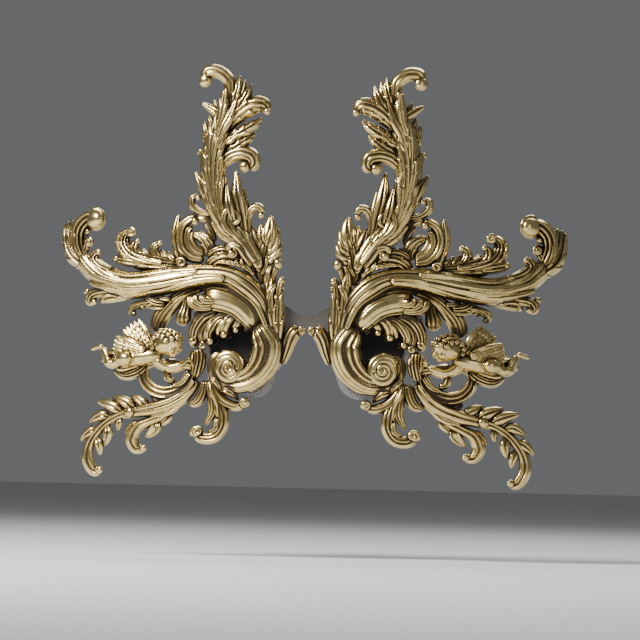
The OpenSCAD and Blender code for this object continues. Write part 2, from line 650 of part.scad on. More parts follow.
// The laurel hangs from the ribbon, turned down by droop degrees about its root
module laurel(droop) {
    casting() {
        translate([75, 0, -22])
            rotate([0, droop, 0])
                translate([-75, 0, 22]) laurel_shape();
        ribbon_loop_shape();
        tendrils_shape();
        eye_scroll_shape();
    }
}

frame_front();
lens();  // lens_left
other_side() lens();  // lens_right
nose_pad();  // nose_pad_left
other_side() nose_pad();  // nose_pad_right
hinge_front();  // hinge_front_left
other_side() hinge_front();  // hinge_front_right
hinge_temple();  // hinge_temple_left
other_side() hinge_temple();  // hinge_temple_right
hinge_screw();  // hinge_screw_left
other_side() hinge_screw();  // hinge_screw_right
front_rivets();
temple_rivets();  // temple_rivets_left
other_side() temple_rivets();  // temple_rivets_right
temple();  // temple_left
other_side() temple();  // temple_right
temple_core();  // temple_core_left
other_side() temple_core();  // temple_core_right
eye_scroll();  // eye_scroll_left
other_side() eye_scroll();  // eye_scroll_right
eye_lobes();  // eye_lobes_left
other_side() eye_lobes();  // eye_lobes_right
brow_band();  // brow_band_left
other_side() brow_band();  // brow_band_right
bridge_curl();  // bridge_curl_left
other_side() bridge_curl();  // bridge_curl_right
inner_leaf();  // inner_leaf_left
other_side() inner_leaf();  // inner_leaf_right
wing_stem();  // wing_stem_left
other_side() wing_stem();  // wing_stem_right
wing_curl();  // wing_curl_left
other_side() wing_curl();  // wing_curl_right
spray_leaf();  // spray_leaf_left
other_side() spray_leaf();  // spray_leaf_right
lower_leaf();  // lower_leaf_left
other_side() lower_leaf();  // lower_leaf_right
mid_leaf();  // mid_leaf_left
other_side() mid_leaf();  // mid_leaf_right
strap();  // strap_left
other_side() strap();  // strap_right
plume();  // plume_left
other_side() plume();  // plume_right
crest_leaf();  // crest_leaf_left
other_side() crest_leaf();  // crest_leaf_right
side_shell();  // side_shell_left
other_side() side_shell();  // side_shell_right
flower_leaf();  // flower_leaf_left
other_side() flower_leaf();  // flower_leaf_right
ribbon_loop();  // ribbon_loop_left
other_side() ribbon_loop();  // ribbon_loop_right
cherub();  // cherub_left
other_side() cherub();  // cherub_right
laurel(laurel_droop);  // laurel_left
other_side() laurel(0);  // laurel_right
tendrils();  // tendrils_left
other_side() tendrils();  // tendrils_right
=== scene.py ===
"""Rococo masquerade mask: gilded castings on smoke-tinted glasses.

The castings are drawn on the curved face of the mask, as in the CAD: out from the middle plane, up from the
nose, and lift in front of the face, in millimetres. Each one is then set into the box of its CAD node.
"""
import math

import bpy
import numpy as np
from mathutils import Matrix, Vector
from mathutils.bvhtree import BVHTree


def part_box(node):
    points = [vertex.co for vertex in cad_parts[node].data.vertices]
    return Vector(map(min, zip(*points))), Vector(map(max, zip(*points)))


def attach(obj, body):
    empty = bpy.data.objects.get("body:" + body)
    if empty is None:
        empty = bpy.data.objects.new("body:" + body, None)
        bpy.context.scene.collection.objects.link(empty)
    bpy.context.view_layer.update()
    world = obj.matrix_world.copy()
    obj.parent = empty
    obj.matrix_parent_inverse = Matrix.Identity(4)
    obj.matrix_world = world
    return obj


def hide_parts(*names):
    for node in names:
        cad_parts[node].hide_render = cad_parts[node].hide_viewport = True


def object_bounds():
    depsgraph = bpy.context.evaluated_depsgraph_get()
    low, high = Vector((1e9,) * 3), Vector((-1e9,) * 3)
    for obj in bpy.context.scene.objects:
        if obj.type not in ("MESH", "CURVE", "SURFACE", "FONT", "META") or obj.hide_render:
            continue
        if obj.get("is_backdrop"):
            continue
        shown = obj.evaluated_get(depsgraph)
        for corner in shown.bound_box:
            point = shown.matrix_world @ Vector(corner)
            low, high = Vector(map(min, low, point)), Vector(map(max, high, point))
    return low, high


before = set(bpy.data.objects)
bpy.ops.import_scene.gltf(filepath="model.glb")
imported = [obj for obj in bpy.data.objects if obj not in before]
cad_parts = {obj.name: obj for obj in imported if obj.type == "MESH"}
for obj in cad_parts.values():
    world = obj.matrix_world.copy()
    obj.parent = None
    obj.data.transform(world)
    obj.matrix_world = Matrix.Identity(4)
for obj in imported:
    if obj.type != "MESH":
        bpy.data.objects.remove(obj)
LOW, HIGH = (np.array(corner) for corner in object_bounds())

MM = 0.001
WRAP_R = 300.0        # radius of the curve that the mask follows, mm
FACE_AHEAD = 6.0      # how far the middle of the front stands ahead of the nose, mm
GLUE = 0.2            # thickness of the glue under the castings, mm
THIN = 1.4            # thinnest that a casting gets, mm
RING_STEP = 0.7       # spacing of the rings along a stroke, mm
FULLNESS = 1.14       # how much wider the finished strokes swell than their drawn widths
# These set how shut in each point is, which the gilt paints as shade in hollows, part of it as brown
# antiquing
SHADE_REACH = 7.0     # how far the shading rays reach for what stands round a point, mm
SHADE_RAYS = 14
SHADE_START = 0.12    # how far off the surface the shading rays start, mm
SHADE_GAIN = 1.95     # a point gets the full painted shade when about half of its surroundings are blocked
NARROWEST = 0.25      # smallest half width of a stroke, mm
END_HEIGHT = 0.25     # height of the rounded ends of a stroke, as a share of its full height
SHOULDER = 0.28       # height at the edges of a stroke, as a share of its full height
SINK = 2.0            # how far a raised stroke reaches below its own base, mm
TONE_SCALE = 160      # noise scale of the slow changes of tone
FLOOR_DROP = 0.05     # how far the floor lies below the mask, m
FLOOR_HALF = 20       # half the width of the floor, m
LAUREL_ROOT = (75, -22)
LAUREL_DROOP = 2.5    # how far the laurel on the wearer's left hangs lower, degrees
FRONT = "front"       # the body that every casting is glued to


# ---- Curves ----

def smooth_curve(points, dense=14):
    """A Catmull-Rom curve through the points, before it is spaced evenly."""
    p = np.array(points, float)
    p = np.vstack([2 * p[0] - p[1], p, 2 * p[-1] - p[-2]])
    t = np.linspace(0, 1, dense, endpoint=False)[:, None]
    parts = []
    for a, b, c, d in zip(p[:-3], p[1:-2], p[2:-1], p[3:]):
        parts.append(0.5 * (2 * b + (c - a) * t + (2 * a - 5 * b + 4 * c - d) * t**2
                            + (3 * b - a - 3 * c + d) * t**3))
    return np.vstack(parts + [p[-2:-1]])


def evenly(curve, step):
    """The same curve with points at equal steps along its length on the face."""
    lengths = np.r_[0, np.cumsum(np.linalg.norm(np.diff(curve[:, :2], axis=0), axis=1))]
    count = max(8, int(lengths[-1] / step) + 1)
    at = np.linspace(0, lengths[-1], count)
    return np.column_stack([np.interp(at, lengths, curve[:, k]) for k in range(curve.shape[1])]), at


def on_face(places):
    """Turns (out, up, lift) in millimetres into a place in the frame, in metres."""
    out, up, lift = np.asarray(places, float).T
    back = WRAP_R - FACE_AHEAD - np.sqrt((WRAP_R + lift) ** 2 - out**2)
    return np.column_stack([out, back, up]) * MM


# ---- Cross-sections ----
# A height from 0 to 1, by the share s of the half width from -1 to 1 and the share t of the length

def dome(s, t):
    return np.sqrt(np.clip(1 - s**2, 0, 1))


def fluted(count, depth=0.45, twist=0.0, uneven=0.12):
    """Round ribs of uneven width between sharp grooves, which wind round the stroke by twist ribs."""
    def height(s, t):
        spread = s + uneven * np.sin(2.2 * s + 1.0)
        rib = np.abs(np.sin(math.pi * (count * (spread + 1) / 2 + twist * t))) ** 0.7
        return dome(s, t) * (1 - depth * (1 - rib))
    return height


def almond(s, t):
    """A full leaf with a crease along its middle."""
    return dome(s, t) * (1 - 0.38 * np.exp(-(s / 0.14) ** 2))


def keel(s, t):
    """A leaf: sharp along the middle, with hollow flanks and a fine raised rim."""
    flank = (1 - np.abs(s)) ** 0.85
    rim = 0.22 * np.exp(-((np.abs(s) - 0.86) / 0.07) ** 2)
    return np.clip(flank + rim, 0, 1)


def spoon(s, t):
    """A leaf that is hollow between two raised rims."""
    rim = np.exp(-((np.abs(s) - 0.72) / 0.2) ** 2)
    return dome(s, t) * (0.45 + 0.5 * rim)


def drawn(points):
    """A cross-section drawn by a few points."""
    shares, heights = np.array(points, float).T

    def height(s, t):
        return np.mean([np.interp(s + k, shares, heights) for k in np.linspace(-0.03, 0.03, 5)], axis=0)
    return height


# Round inner rim, second ridge, leafy groove, outer ridge and a hollow slope to the outer edge
EYE_RIM = drawn([(-1, 0), (-0.95, 0.55), (-0.86, 0.86), (-0.7, 1), (-0.57, 0.92), (-0.49, 0.7),
                 (-0.42, 0.8), (-0.3, 0.93), (-0.2, 0.86), (-0.12, 0.7), (0.12, 0.68), (0.2, 0.82),
                 (0.3, 0.9), (0.4, 0.82), (0.47, 0.68), (0.53, 0.74), (0.7, 0.66), (0.76, 0.54),
                 (0.82, 0.62), (0.92, 0.5), (1, 0)])
SMOOTH_BAND = drawn([(-1, 0), (-0.94, 0.5), (-0.84, 0.66), (-0.78, 0.5), (-0.7, 0.7), (-0.46, 0.86),
                     (-0.42, 0.76), (-0.37, 0.9), (0, 1), (0.3, 0.96), (0.36, 0.82), (0.41, 0.94),
                     (0.66, 0.8), (0.74, 0.56), (0.8, 0.72), (0.93, 0.5), (1, 0)])
SWEEP = drawn([(-1, 0), (-0.92, 0.5), (-0.7, 0.8), (-0.56, 0.84), (-0.5, 0.6), (-0.44, 0.86), (-0.1, 1),
               (0.0, 0.96), (0.06, 0.72), (0.12, 0.95), (0.36, 0.92), (0.48, 0.84), (0.55, 0.56),
               (0.62, 0.78), (0.85, 0.5), (1, 0)])
BOUGH = drawn([(-1, 0), (-0.86, 0.66), (-0.6, 0.96), (-0.3, 1), (-0.12, 0.86), (-0.04, 0.62), (0.06, 0.8),
               (0.4, 0.84), (0.72, 0.62), (0.9, 0.36), (1, 0)])
CURL = drawn([(-1, 0), (-0.9, 0.7), (-0.72, 1), (-0.5, 0.8), (-0.38, 0.45), (-0.2, 0.62), (0, 0.7),
              (0.2, 0.62), (0.38, 0.45), (0.5, 0.8), (0.72, 1), (0.9, 0.7), (1, 0)])


# ---- Sculpting ----

class Casting:
    """The strokes and beads of one casting, in (out, up, lift) millimetres."""

    def __init__(self):
        self.points = []
        self.faces = []
        self.count = 0

    def add(self, points, faces):
        """Adds a closed shape, with its faces turned outwards."""
        points = np.asarray(points, float)
        corners = np.array([f[:3] for f in faces])
        a, b, c = (points[corners[:, k]] - points.mean(axis=0) for k in range(3))
        inside_out = np.einsum("ij,ij->i", a, np.cross(b, c)).sum() < 0
        order = slice(None, None, -1) if inside_out else slice(None)
        self.faces += [tuple(self.count + k for k in f[order]) for f in faces]
        self.points.append(points)
        self.count += len(points)

    def roll(self, path, shape=fluted(3), swell=1.4, lift=0.0, lobes=0, lobe_depth=0.25):
        """A tapering stroke through rows of (out, up, half width), which may add their own lift."""
        line, at = evenly(smooth_curve([tuple(row) + (lift,) * (4 - len(row)) for row in path]), RING_STEP)
        out, up, half, base = line.T
        half = np.maximum(half, NARROWEST)
        ahead = np.gradient(line[:, :2], axis=0)
        ahead /= np.linalg.norm(ahead, axis=1)[:, None] + 1e-9
        to_end = np.minimum(at / half[0], (at[-1] - at) / half[-1])
        rounded = np.sqrt(1 - (1 - np.clip(to_end, 0.02, 1)) ** 2)
        high = np.maximum(swell * half, THIN) * (END_HEIGHT + (1 - END_HEIGHT) * rounded)
        wide = FULLNESS * half * rounded
        share = -np.cos(np.linspace(0, math.pi, int(np.clip(half.max() * 6, 17, 61))))
        crown = shape(share[None, :], (at / at[-1])[:, None]) * np.ones((len(line), 1))
        if lobes:
            along = (at / at[-1] * lobes)[:, None]
            phase = (along - 0.6 * np.abs(share)) % 1.0
            edge = (along[:, 0] - 0.6) % 1.0
            wide = wide * (1 - lobe_depth + 1.6 * lobe_depth * edge**0.7 * (1 - edge) ** 0.25)
            crown = crown * (1 - 0.55 * np.abs(share) ** 1.3 * (1 - phase) ** 1.5)
        foot = np.maximum(base - SINK, GLUE)[:, None]
        top = np.maximum(base[:, None] + high[:, None] * (SHOULDER + (1 - SHOULDER) * crown), foot)
        under = np.array([0.86, 0.3, -0.3, -0.86])
        around = np.r_[share, under]
        rings = np.empty((len(line), len(around), 3))
        rings[:, :, 0] = out[:, None] + ahead[:, 1:] * wide[:, None] * around
        rings[:, :, 1] = up[:, None] - ahead[:, :1] * wide[:, None] * around
        rings[:, :, 2] = np.hstack([top, np.repeat(foot, len(under), axis=1)])
        m, n = len(around), len(line)
        faces = [(i * m + j, i * m + (j + 1) % m, (i + 1) * m + (j + 1) % m, (i + 1) * m + j)
                 for i in range(n - 1) for j in range(m)]
        faces += [(m * n, (j + 1) % m, j) for j in range(m)]
        faces += [(m * n + 1, (n - 1) * m + j, (n - 1) * m + (j + 1) % m) for j in range(m)]
        self.add(np.vstack([rings.reshape(-1, 3), rings[0].mean(axis=0), rings[-1].mean(axis=0)]), faces)

    def leaf(self, base, tip, half, bow=0.0, swell=1.2, lift=0.0, shape=almond, curl=0.0, lobes=0):
        """A leaf from base to tip; bow pushes its middle sideways and curl lifts its tip off the face."""
        (x0, y0), (x1, y1) = base, tip
        dx, dy = x1 - x0, y1 - y0
        sx, sy = dy * bow, -dx * bow
        self.roll([
            (x0, y0, 0.45 * half, lift),
            (x0 + 0.33 * dx + sx, y0 + 0.33 * dy + sy, half, lift + 0.3 * curl),
            (x0 + 0.7 * dx + 0.8 * sx, y0 + 0.7 * dy + 0.8 * sy, 0.78 * half, lift + 0.7 * curl),
            (x1, y1, 0.2 * half, lift + curl),
        ], shape, swell, lobes=lobes)

    def strand(self, stem, start, end, aside, half, lift, shape=fluted(2), swell=1.2, lobes=0):
        """A stroke along a stem from share start to share end, which drifts from aside[0] to aside[1]."""
        line = smooth_curve([row[:2] for row in stem])
        count = len(line) - 1
        path = []
        steps = 6
        for k in range(steps + 1):
            t = k / steps
            i = min(count - 1, int(count * (start + (end - start) * t)))
            ahead = line[i + 1] - line[i]
            off = (aside[0] + (aside[1] - aside[0]) * t**1.5) / (np.linalg.norm(ahead) + 1e-9)
            full = half * (0.35 + 0.65 * math.sin(math.pi * min(1, 0.15 + 0.85 * t)) ** 0.7)
            path.append((line[i][0] - ahead[1] * off, line[i][1] + ahead[0] * off, full,
                         lift * (1 - 0.3 * t)))
        self.roll(path, shape, swell, lobes=lobes)

    def ball(self, centre, r):
        """A plain ball about a (out, up, lift) centre."""
        self.bead(centre[0], centre[1], r, centre[2] - 0.7 * r, flat=1)

    def bead(self, out, up, r, lift=0.0, flat=0.9, rows=12):
        """A bead whose middle stands most of its radius off what it sits on."""
        polar = np.linspace(0, math.pi, rows + 1)
        turn = np.linspace(0, 2 * math.pi, 2 * rows, endpoint=False)
        ring = [[(out + r * math.sin(a) * math.cos(b), up + r * math.sin(a) * math.sin(b),
                  lift + flat * r * (0.7 + math.cos(a))) for b in turn] for a in polar[1:-1]]
        n = len(turn)
        points = [(out, up, lift + 1.7 * flat * r), (out, up, lift - 0.3 * flat * r)]
        points += [p for row in ring for p in row]
        faces = [(0, 2 + (j + 1) % n, 2 + j) for j in range(n)]
        faces += [(1, 2 + (rows - 2) * n + j, 2 + (rows - 2) * n + (j + 1) % n) for j in range(n)]
        for i in range(rows - 2):
            this, after = 2 + i * n, 2 + (i + 1) * n
            faces += [(this + j, this + (j + 1) % n, after + (j + 1) % n, after + j) for j in range(n)]
        self.add(points, faces)

    def spiral(self, out, up, start, turns, r0, r1, half, lift0, lift1, swell=1.6, shape=dome):
        """A band that winds in from r0 to r1 while it climbs from lift0 to lift1."""
        count = max(8, int(abs(turns) * 10))
        path = []
        for i in range(count + 1):
            t = i / count
            a = math.radians(start) + 2 * math.pi * turns * t
            r = r0 + (r1 - r0) * t
            path.append((out + r * math.cos(a), up + r * math.sin(a), half * (1 - 0.35 * t),
                         lift0 + (lift1 - lift0) * t))
        self.roll(path, shape, swell)

    def row(self, rail, item, spacing, size, lean=0.0, taper=0.3):
        """Items set along a rail of (out, up, lift) points."""
        self.add_all(*row_along_rail(smooth_curve(rail), item, spacing, size, lean, taper))

    def add_all(self, points, faces):
        """Adds shapes whose faces already point outwards."""
        self.faces += [tuple(self.count + k for k in f) for f in faces]
        self.points.append(points)
        self.count += len(points)

    def arrays(self):
        return np.vstack(self.points), self.faces


# ---- Rows of small ornaments, by Geometry Nodes ----

def mesh_of(name, points, faces, edges=()):
    mesh = bpy.data.meshes.new(name)
    mesh.from_pydata([tuple(p) for p in points], list(edges), faces)
    return mesh


def arrays_of(mesh):
    """The points and faces of a mesh."""
    points = np.empty(len(mesh.vertices) * 3)
    mesh.vertices.foreach_get("co", points)
    return points.reshape(-1, 3), [tuple(p.vertices) for p in mesh.polygons]


def rail_tree():
    """Geometry Nodes that set an item at even steps along a rail, smaller towards the rail's ends."""
    tree = bpy.data.node_groups.new("row_along_rail", "GeometryNodeTree")
    sockets = tree.interface
    sockets.new_socket("Rail", in_out="INPUT", socket_type="NodeSocketGeometry")
    sockets.new_socket("Item", in_out="INPUT", socket_type="NodeSocketObject")
    for label in ("Spacing", "Size", "Lean", "Taper"):
        sockets.new_socket(label, in_out="INPUT", socket_type="NodeSocketFloat")
    sockets.new_socket("Finish", in_out="INPUT", socket_type="NodeSocketMaterial")
    sockets.new_socket("Row", in_out="OUTPUT", socket_type="NodeSocketGeometry")
    link = tree.links.new

    def node(kind, **settings):
        made = tree.nodes.new(kind)
        for key, value in settings.items():
            setattr(made, key, value)
        return made

    def math_node(operation, a, b):
        made = node("ShaderNodeMath", operation=operation)
        for socket, value in zip(made.inputs, (a, b)):
            if isinstance(value, (int, float)):
                socket.default_value = value
            else:
                link(value, socket)
        return made.outputs[0]

    given = node("NodeGroupInput")
    rail = node("GeometryNodeMeshToCurve")
    link(given.outputs["Rail"], rail.inputs["Mesh"])
    spaced = node("GeometryNodeResampleCurve", mode="LENGTH")
    link(rail.outputs["Curve"], spaced.inputs["Curve"])
    link(given.outputs["Spacing"], spaced.inputs["Length"])
    item = node("GeometryNodeObjectInfo")
    link(given.outputs["Item"], item.inputs["Object"])
    along = node("FunctionNodeAlignRotationToVector", axis="X", pivot_axis="Z")
    link(node("GeometryNodeInputTangent").outputs["Tangent"], along.inputs["Vector"])
    lean = node("FunctionNodeAxisAngleToRotation")
    lean.inputs["Axis"].default_value = (0, 0, 1)
    link(given.outputs["Lean"], lean.inputs["Angle"])
    leaning = node("FunctionNodeRotateRotation", rotation_space="LOCAL")
    link(along.outputs["Rotation"], leaning.inputs["Rotation"])
    link(lean.outputs["Rotation"], leaning.inputs["Rotate By"])
    place = node("GeometryNodeSplineParameter").outputs["Factor"]
    off_middle = math_node("ABSOLUTE", math_node("SUBTRACT", math_node("MULTIPLY", place, 2.0), 1.0), 0.0)
    tapered = math_node("SUBTRACT", 1.0, math_node("MULTIPLY", off_middle, given.outputs["Taper"]))
    uneven = node("FunctionNodeRandomValue", data_type="FLOAT")
    uneven.inputs["Min"].default_value = 0.9
    uneven.inputs["Max"].default_value = 1.08
    uneven.inputs["Seed"].default_value = 7
    size = math_node("MULTIPLY", math_node("MULTIPLY", tapered, uneven.outputs["Value"]),
                     given.outputs["Size"])
    placed = node("GeometryNodeInstanceOnPoints")
    link(spaced.outputs["Curve"], placed.inputs["Points"])
    link(item.outputs["Geometry"], placed.inputs["Instance"])
    link(leaning.outputs["Rotation"], placed.inputs["Rotation"])
    link(size, placed.inputs["Scale"])
    real = node("GeometryNodeRealizeInstances")
    link(placed.outputs["Instances"], real.inputs["Geometry"])
    finish = node("GeometryNodeSetMaterial")
    link(real.outputs["Geometry"], finish.inputs["Geometry"])
    link(given.outputs["Finish"], finish.inputs["Material"])
    link(finish.outputs["Geometry"], node("NodeGroupOutput").inputs["Row"])
    return tree


def row_along_rail(rail, item, spacing, size, lean, taper):
    """The points and faces of items set along a rail, as one plain mesh."""
    edges = [(k, k + 1) for k in range(len(rail) - 1)]
    holder = bpy.data.objects.new("rail", mesh_of("rail", rail[:, :3], [], edges))
    bpy.context.collection.objects.link(holder)
    modifier = holder.modifiers.new("row", "NODES")
    modifier.node_group = RAIL_TREE
    socket_of = {s.name: s.identifier for s in RAIL_TREE.interface.items_tree if s.in_out == "INPUT"}
    values = {"Item": item, "Spacing": spacing, "Size": size, "Lean": lean, "Taper": taper, "Finish": GOLD}
    for label, value in values.items():
        modifier[socket_of[label]] = value
    bpy.context.view_layer.update()
    depsgraph = bpy.context.evaluated_depsgraph_get()
    made = arrays_of(bpy.data.meshes.new_from_object(holder.evaluated_get(depsgraph)))
    bpy.data.objects.remove(holder)
    return made


def ornament(name, draw):
    """A small item that rows repeat, drawn about the origin."""
    c = Casting()
    draw(c)
    obj = bpy.data.objects.new(name, mesh_of(name, *c.arrays()))
    bpy.context.collection.objects.link(obj)
    return obj


def lock(c):
    """A curl of hair, wound in on itself."""
    c.spiral(0, 0, 0, 1.7, 3.4, 0.8, 1.1, 0, 2.4, 1.3)
    c.bead(0, 0, 2, 0.6, rows=6)


def frond(c):
    """A leaflet that lies across its rail, with a ridge along its middle."""
    outline = [(-1.5, 0.0), (-0.9, 0.42), (0.2, 0.5), (1.1, 0.26), (1.7, 0.0), (1.1, -0.26), (0.2, -0.5),
               (-0.9, -0.42)]
    rim = [(x, y, 0.1) for x, y in outline]
    foot = [(x, y, -0.8) for x, y in outline]
    ridge = [(-1.2, 0, 0.45), (-0.2, 0, 0.7), (0.9, 0, 0.45)]
    n = len(outline)
    faces = [(k, (k + 1) % n, n + (k + 1) % n, n + k) for k in range(n)]
    faces += [(2 * n, 0, 1), (2 * n, 1, 2, 2 * n + 1), (2 * n + 1, 2, 3, 2 * n + 2), (2 * n + 2, 3, 4)]
    faces += [(2 * n, 7, 0), (2 * n + 1, 6, 7, 2 * n), (2 * n + 2, 5, 6, 2 * n + 1), (2 * n + 2, 4, 5)]
    faces += [tuple(n + k for k in range(n))]
    c.add(rim + foot + ridge, faces)


def feather(c):
    c.leaf((-5, 0), (5, 0.6), 2.3, 0.08, 1.0, 0.4, shape=almond)


# ---- Castings round the eye ----

EYE_BAND = [(34, 13.5, 6.5), (29, 7, 8.4), (25.7, -1, 10), (28.5, -13, 9.5), (36, -22, 8), (46, -26.5, 6.5),
            (57, -25.5, 5), (64, -19, 4.5), (64.5, -11, 4), (58.5, -7, 3)]
VOLUTE = (53.5, -16.2)


def eye_scroll(c):
    c.roll(EYE_BAND, EYE_RIM, 1.1)
    c.bead(*VOLUTE, 8.6, -2, flat=0.7, rows=16)
    c.spiral(*VOLUTE, 20, 1.5, 9.8, 6.2, 3.2, 1.6, 4.4, 1.7)
    c.spiral(*VOLUTE, 190, 1.6, 5.6, 1.4, 1.9, 4.6, 6.6, 1.7)
    groove = [(30.4, 9, 6.6), (26.6, 2, 8.4), (25.8, -5, 8.8), (28, -12.5, 8.2), (33.6, -19.5, 7),
              (40.5, -24, 6), (49, -25.8, 5.2)]
    c.row(groove, FROND, 2.0, 1.5, 0.7)
    c.row([(u - 1.4, v - 0.6, w) for u, v, w in groove], FROND, 2.4, 1.3, -0.7)
    c.strand(EYE_BAND, 0.5, 0.86, (-2.4, -1.4), 1.7, 4, keel, lobes=7)


def eye_lobes(c):
    c.roll([(35.5, 11.5, 1.8), (40, 15.5, 2), (46.5, 18.6, 2.2), (54, 21, 2.4), (63, 22, 2.4)],
           fluted(2), 2)
    c.roll([(50, 21, 2.7), (60, 20, 3.5), (66, 14, 3.8), (69, 8, 3.4), (67, 2, 2.6)], fluted(3, 0.35), 1.7)
    c.roll([(45, 21, 2.6), (52.5, 20, 3.8), (56.5, 14.5, 4), (57.3, 7, 3)], fluted(2, 0.3), 1.7)
    c.bead(57, 7.6, 2.6, 3)
    c.roll([(47, 21.5, 1.4), (54, 19.5, 1.8, 2), (60, 14, 2, 2.6), (61.5, 7, 1.5, 2)], dome, 2)
    c.roll([(40, 17, 2.2), (45.5, 17.3, 2.9), (48.7, 14.5, 2.8), (49, 10.6, 2)], fluted(2, 0.3), 1.9)
    c.bead(48.6, 11, 2.1, 2.4)
    c.roll([(36, 13.5, 1.8), (40, 13.3, 2.3), (42, 10.4, 1.8)], dome, 1.9)
    c.roll([(62, 25, 3), (72, 20.5, 4), (77.5, 13, 3.8), (79, 5, 3.2), (77, -1.5, 2.4)], fluted(3, 0.4), 2)
    c.roll([(62, 22, 3), (69.5, 15, 3.4), (73, 8, 3.4), (71.5, 1, 2.8)], fluted(3, 0.4), 1.8)
    c.roll([(60, 22, 2), (66, 16, 2.4, 2), (69.5, 9, 2.2, 3), (68.5, 3, 1.6, 2)], fluted(2), 1.8)
    c.spiral(79.3, 3, 90, 1.2, 2.6, 0.6, 1.2, 4, 5.5)
    c.spiral(72.5, -0.6, 60, 1.2, 2.4, 0.6, 1.2, 4, 5.5)
    c.bead(79.3, 3, 2.8, 1.4)
    c.bead(72.5, -0.8, 2.6, 2)
    c.bead(66.8, 2.6, 2.6, 2.4)


BROW = [(28.8, 6, 1.6), (32.2, 11.8, 5.8), (36.8, 18.2, 7.8), (44, 25.4, 8.6), (53.3, 29.8, 9.2),
        (63, 31.9, 9.6), (73, 32.5, 8.2)]


def brow_band(c):
    c.roll(BROW, SMOOTH_BAND, 1)
    for k in range(4):
        c.strand(BROW, 0.12 + 0.12 * k, 0.55 + 0.1 * k, (-3.4 + 1.5 * k, -2 + 2 * k), 0.8, 5.2, dome, 1.0)
    c.strand(BROW, 0.02, 0.7, (5, 7.2), 1.4, 2.4, keel)
    c.roll([(64, 24.5, 2.2, 5), (75, 24.6, 3, 7), (81, 28.5, 3, 7.4), (82, 34.4, 2.2, 7)], fluted(3), 1.5)
    c.roll([(64, 27.2, 2.2, 5.6), (73.5, 27.2, 2.6, 8), (77.6, 30.8, 2.5, 8.4), (77.8, 35.2, 1.8, 8)],
           fluted(2), 1.5)
    c.roll([(60, 30, 2.2, 5.6), (69, 29.4, 2.6, 8), (72.6, 32, 2.4, 8.6), (72, 35.6, 1.8, 8)],
           fluted(2), 1.5)
    c.roll([(62, 32.8, 1.6, 6), (67, 32, 2, 8), (69, 34.2, 1.8, 8)], dome, 1.4)
    c.leaf((36, 15), (40, 23), 1.8, 0.2, 1.4, 4)


def bridge_curl(c):
    c.roll([(17, -12, 2.4), (14, -3, 3.8), (11.5, 5, 4.5), (8, 10.5, 4.5), (4.6, 12, 3.8)],
           fluted(3, 0.4, uneven=0), 2)
    c.bead(3.6, 11, 2.9, 1.6)
    c.spiral(3.8, 11, 60, 1.1, 2.4, 0.7, 1.1, 4.2, 5)


def inner_leaf(c):
    c.roll([(19.5, -6, 2.8), (18, 10, 4.4), (18.6, 25, 4.6), (19, 37, 3.8), (17, 46.5, 2.8)], BOUGH, 2.2,
           lobes=3, lobe_depth=0.1)
    c.bead(16.8, 44.8, 2.8, 1.8)
    c.roll([(21, 0, 2.6), (23.5, 18, 4.4), (26, 34, 4.6), (27, 46, 3.4), (29, 58, 1.4)], BOUGH, 2, lobes=3,
           lobe_depth=0.1)
    c.leaf((20.5, 22), (16.2, 41), 2.9, 0, 1.9, 2)
    c.bead(16.3, 40, 2.2, 2.2)
    c.leaf((20, 6), (16.2, 25), 2.5, 0, 1.8, 2.6)
    c.roll([(24.5, 38, 2), (23.6, 48, 2.2), (20.4, 56.5, 2)], dome, 2.4)
    c.bead(20, 56.5, 3.7, 1)
    c.roll([(28, 28, 2, 4), (25.4, 37, 2.6, 5.6), (20.8, 42.4, 1.5, 5)], almond, 1.4)
    c.roll([(29, 40, 2, 3), (28, 50, 2, 4), (24.6, 56, 1, 3)], almond, 1.6)


# ---- Wing castings ----

STEM = [(23, 9, 2.8), (27, 20, 4.4), (33, 31, 6), (43, 40, 7.2), (55, 46, 6.4), (69, 47, 6.6),
        (85, 45.5, 7.6), (105, 42, 8.2), (125, 40.5, 8), (141, 44.5, 7), (151, 50.5, 6.4), (158, 57.5, 6),
        (162, 63, 5)]


def wing_stem(c):
    c.roll(STEM, SWEEP, 1.4)
    c.roll([(136, 49, 3), (146, 53, 3.8), (151, 58.5, 3.6), (147, 64, 2.8)], fluted(3), 2.6)
    c.bead(147.6, 62.6, 2.4, 5)
    c.strand(STEM, 0.03, 0.4, (-2.6, -5), 2.2, 5.6, fluted(2))
    c.strand(STEM, 0.08, 0.44, (-7, -8.6), 3, 2.6, fluted(3))
    strands = [(0.34, 0.66, (-1.5, -7), 3.4, 7.6), (0.45, 0.74, (3, 8), 3.2, 7.4),
               (0.56, 0.82, (-2, -7.6), 3.4, 7.4), (0.6, 0.88, (0.5, -4), 3, 8.4),
               (0.66, 0.95, (2, 5), 2.8, 7.2), (0.76, 0.98, (-2, -4.5), 2.5, 6.6)]
    for start, end, aside, half, lift in strands:
        c.strand(STEM, start, end, aside, half, lift, fluted(2, 0.3), lobes=1)


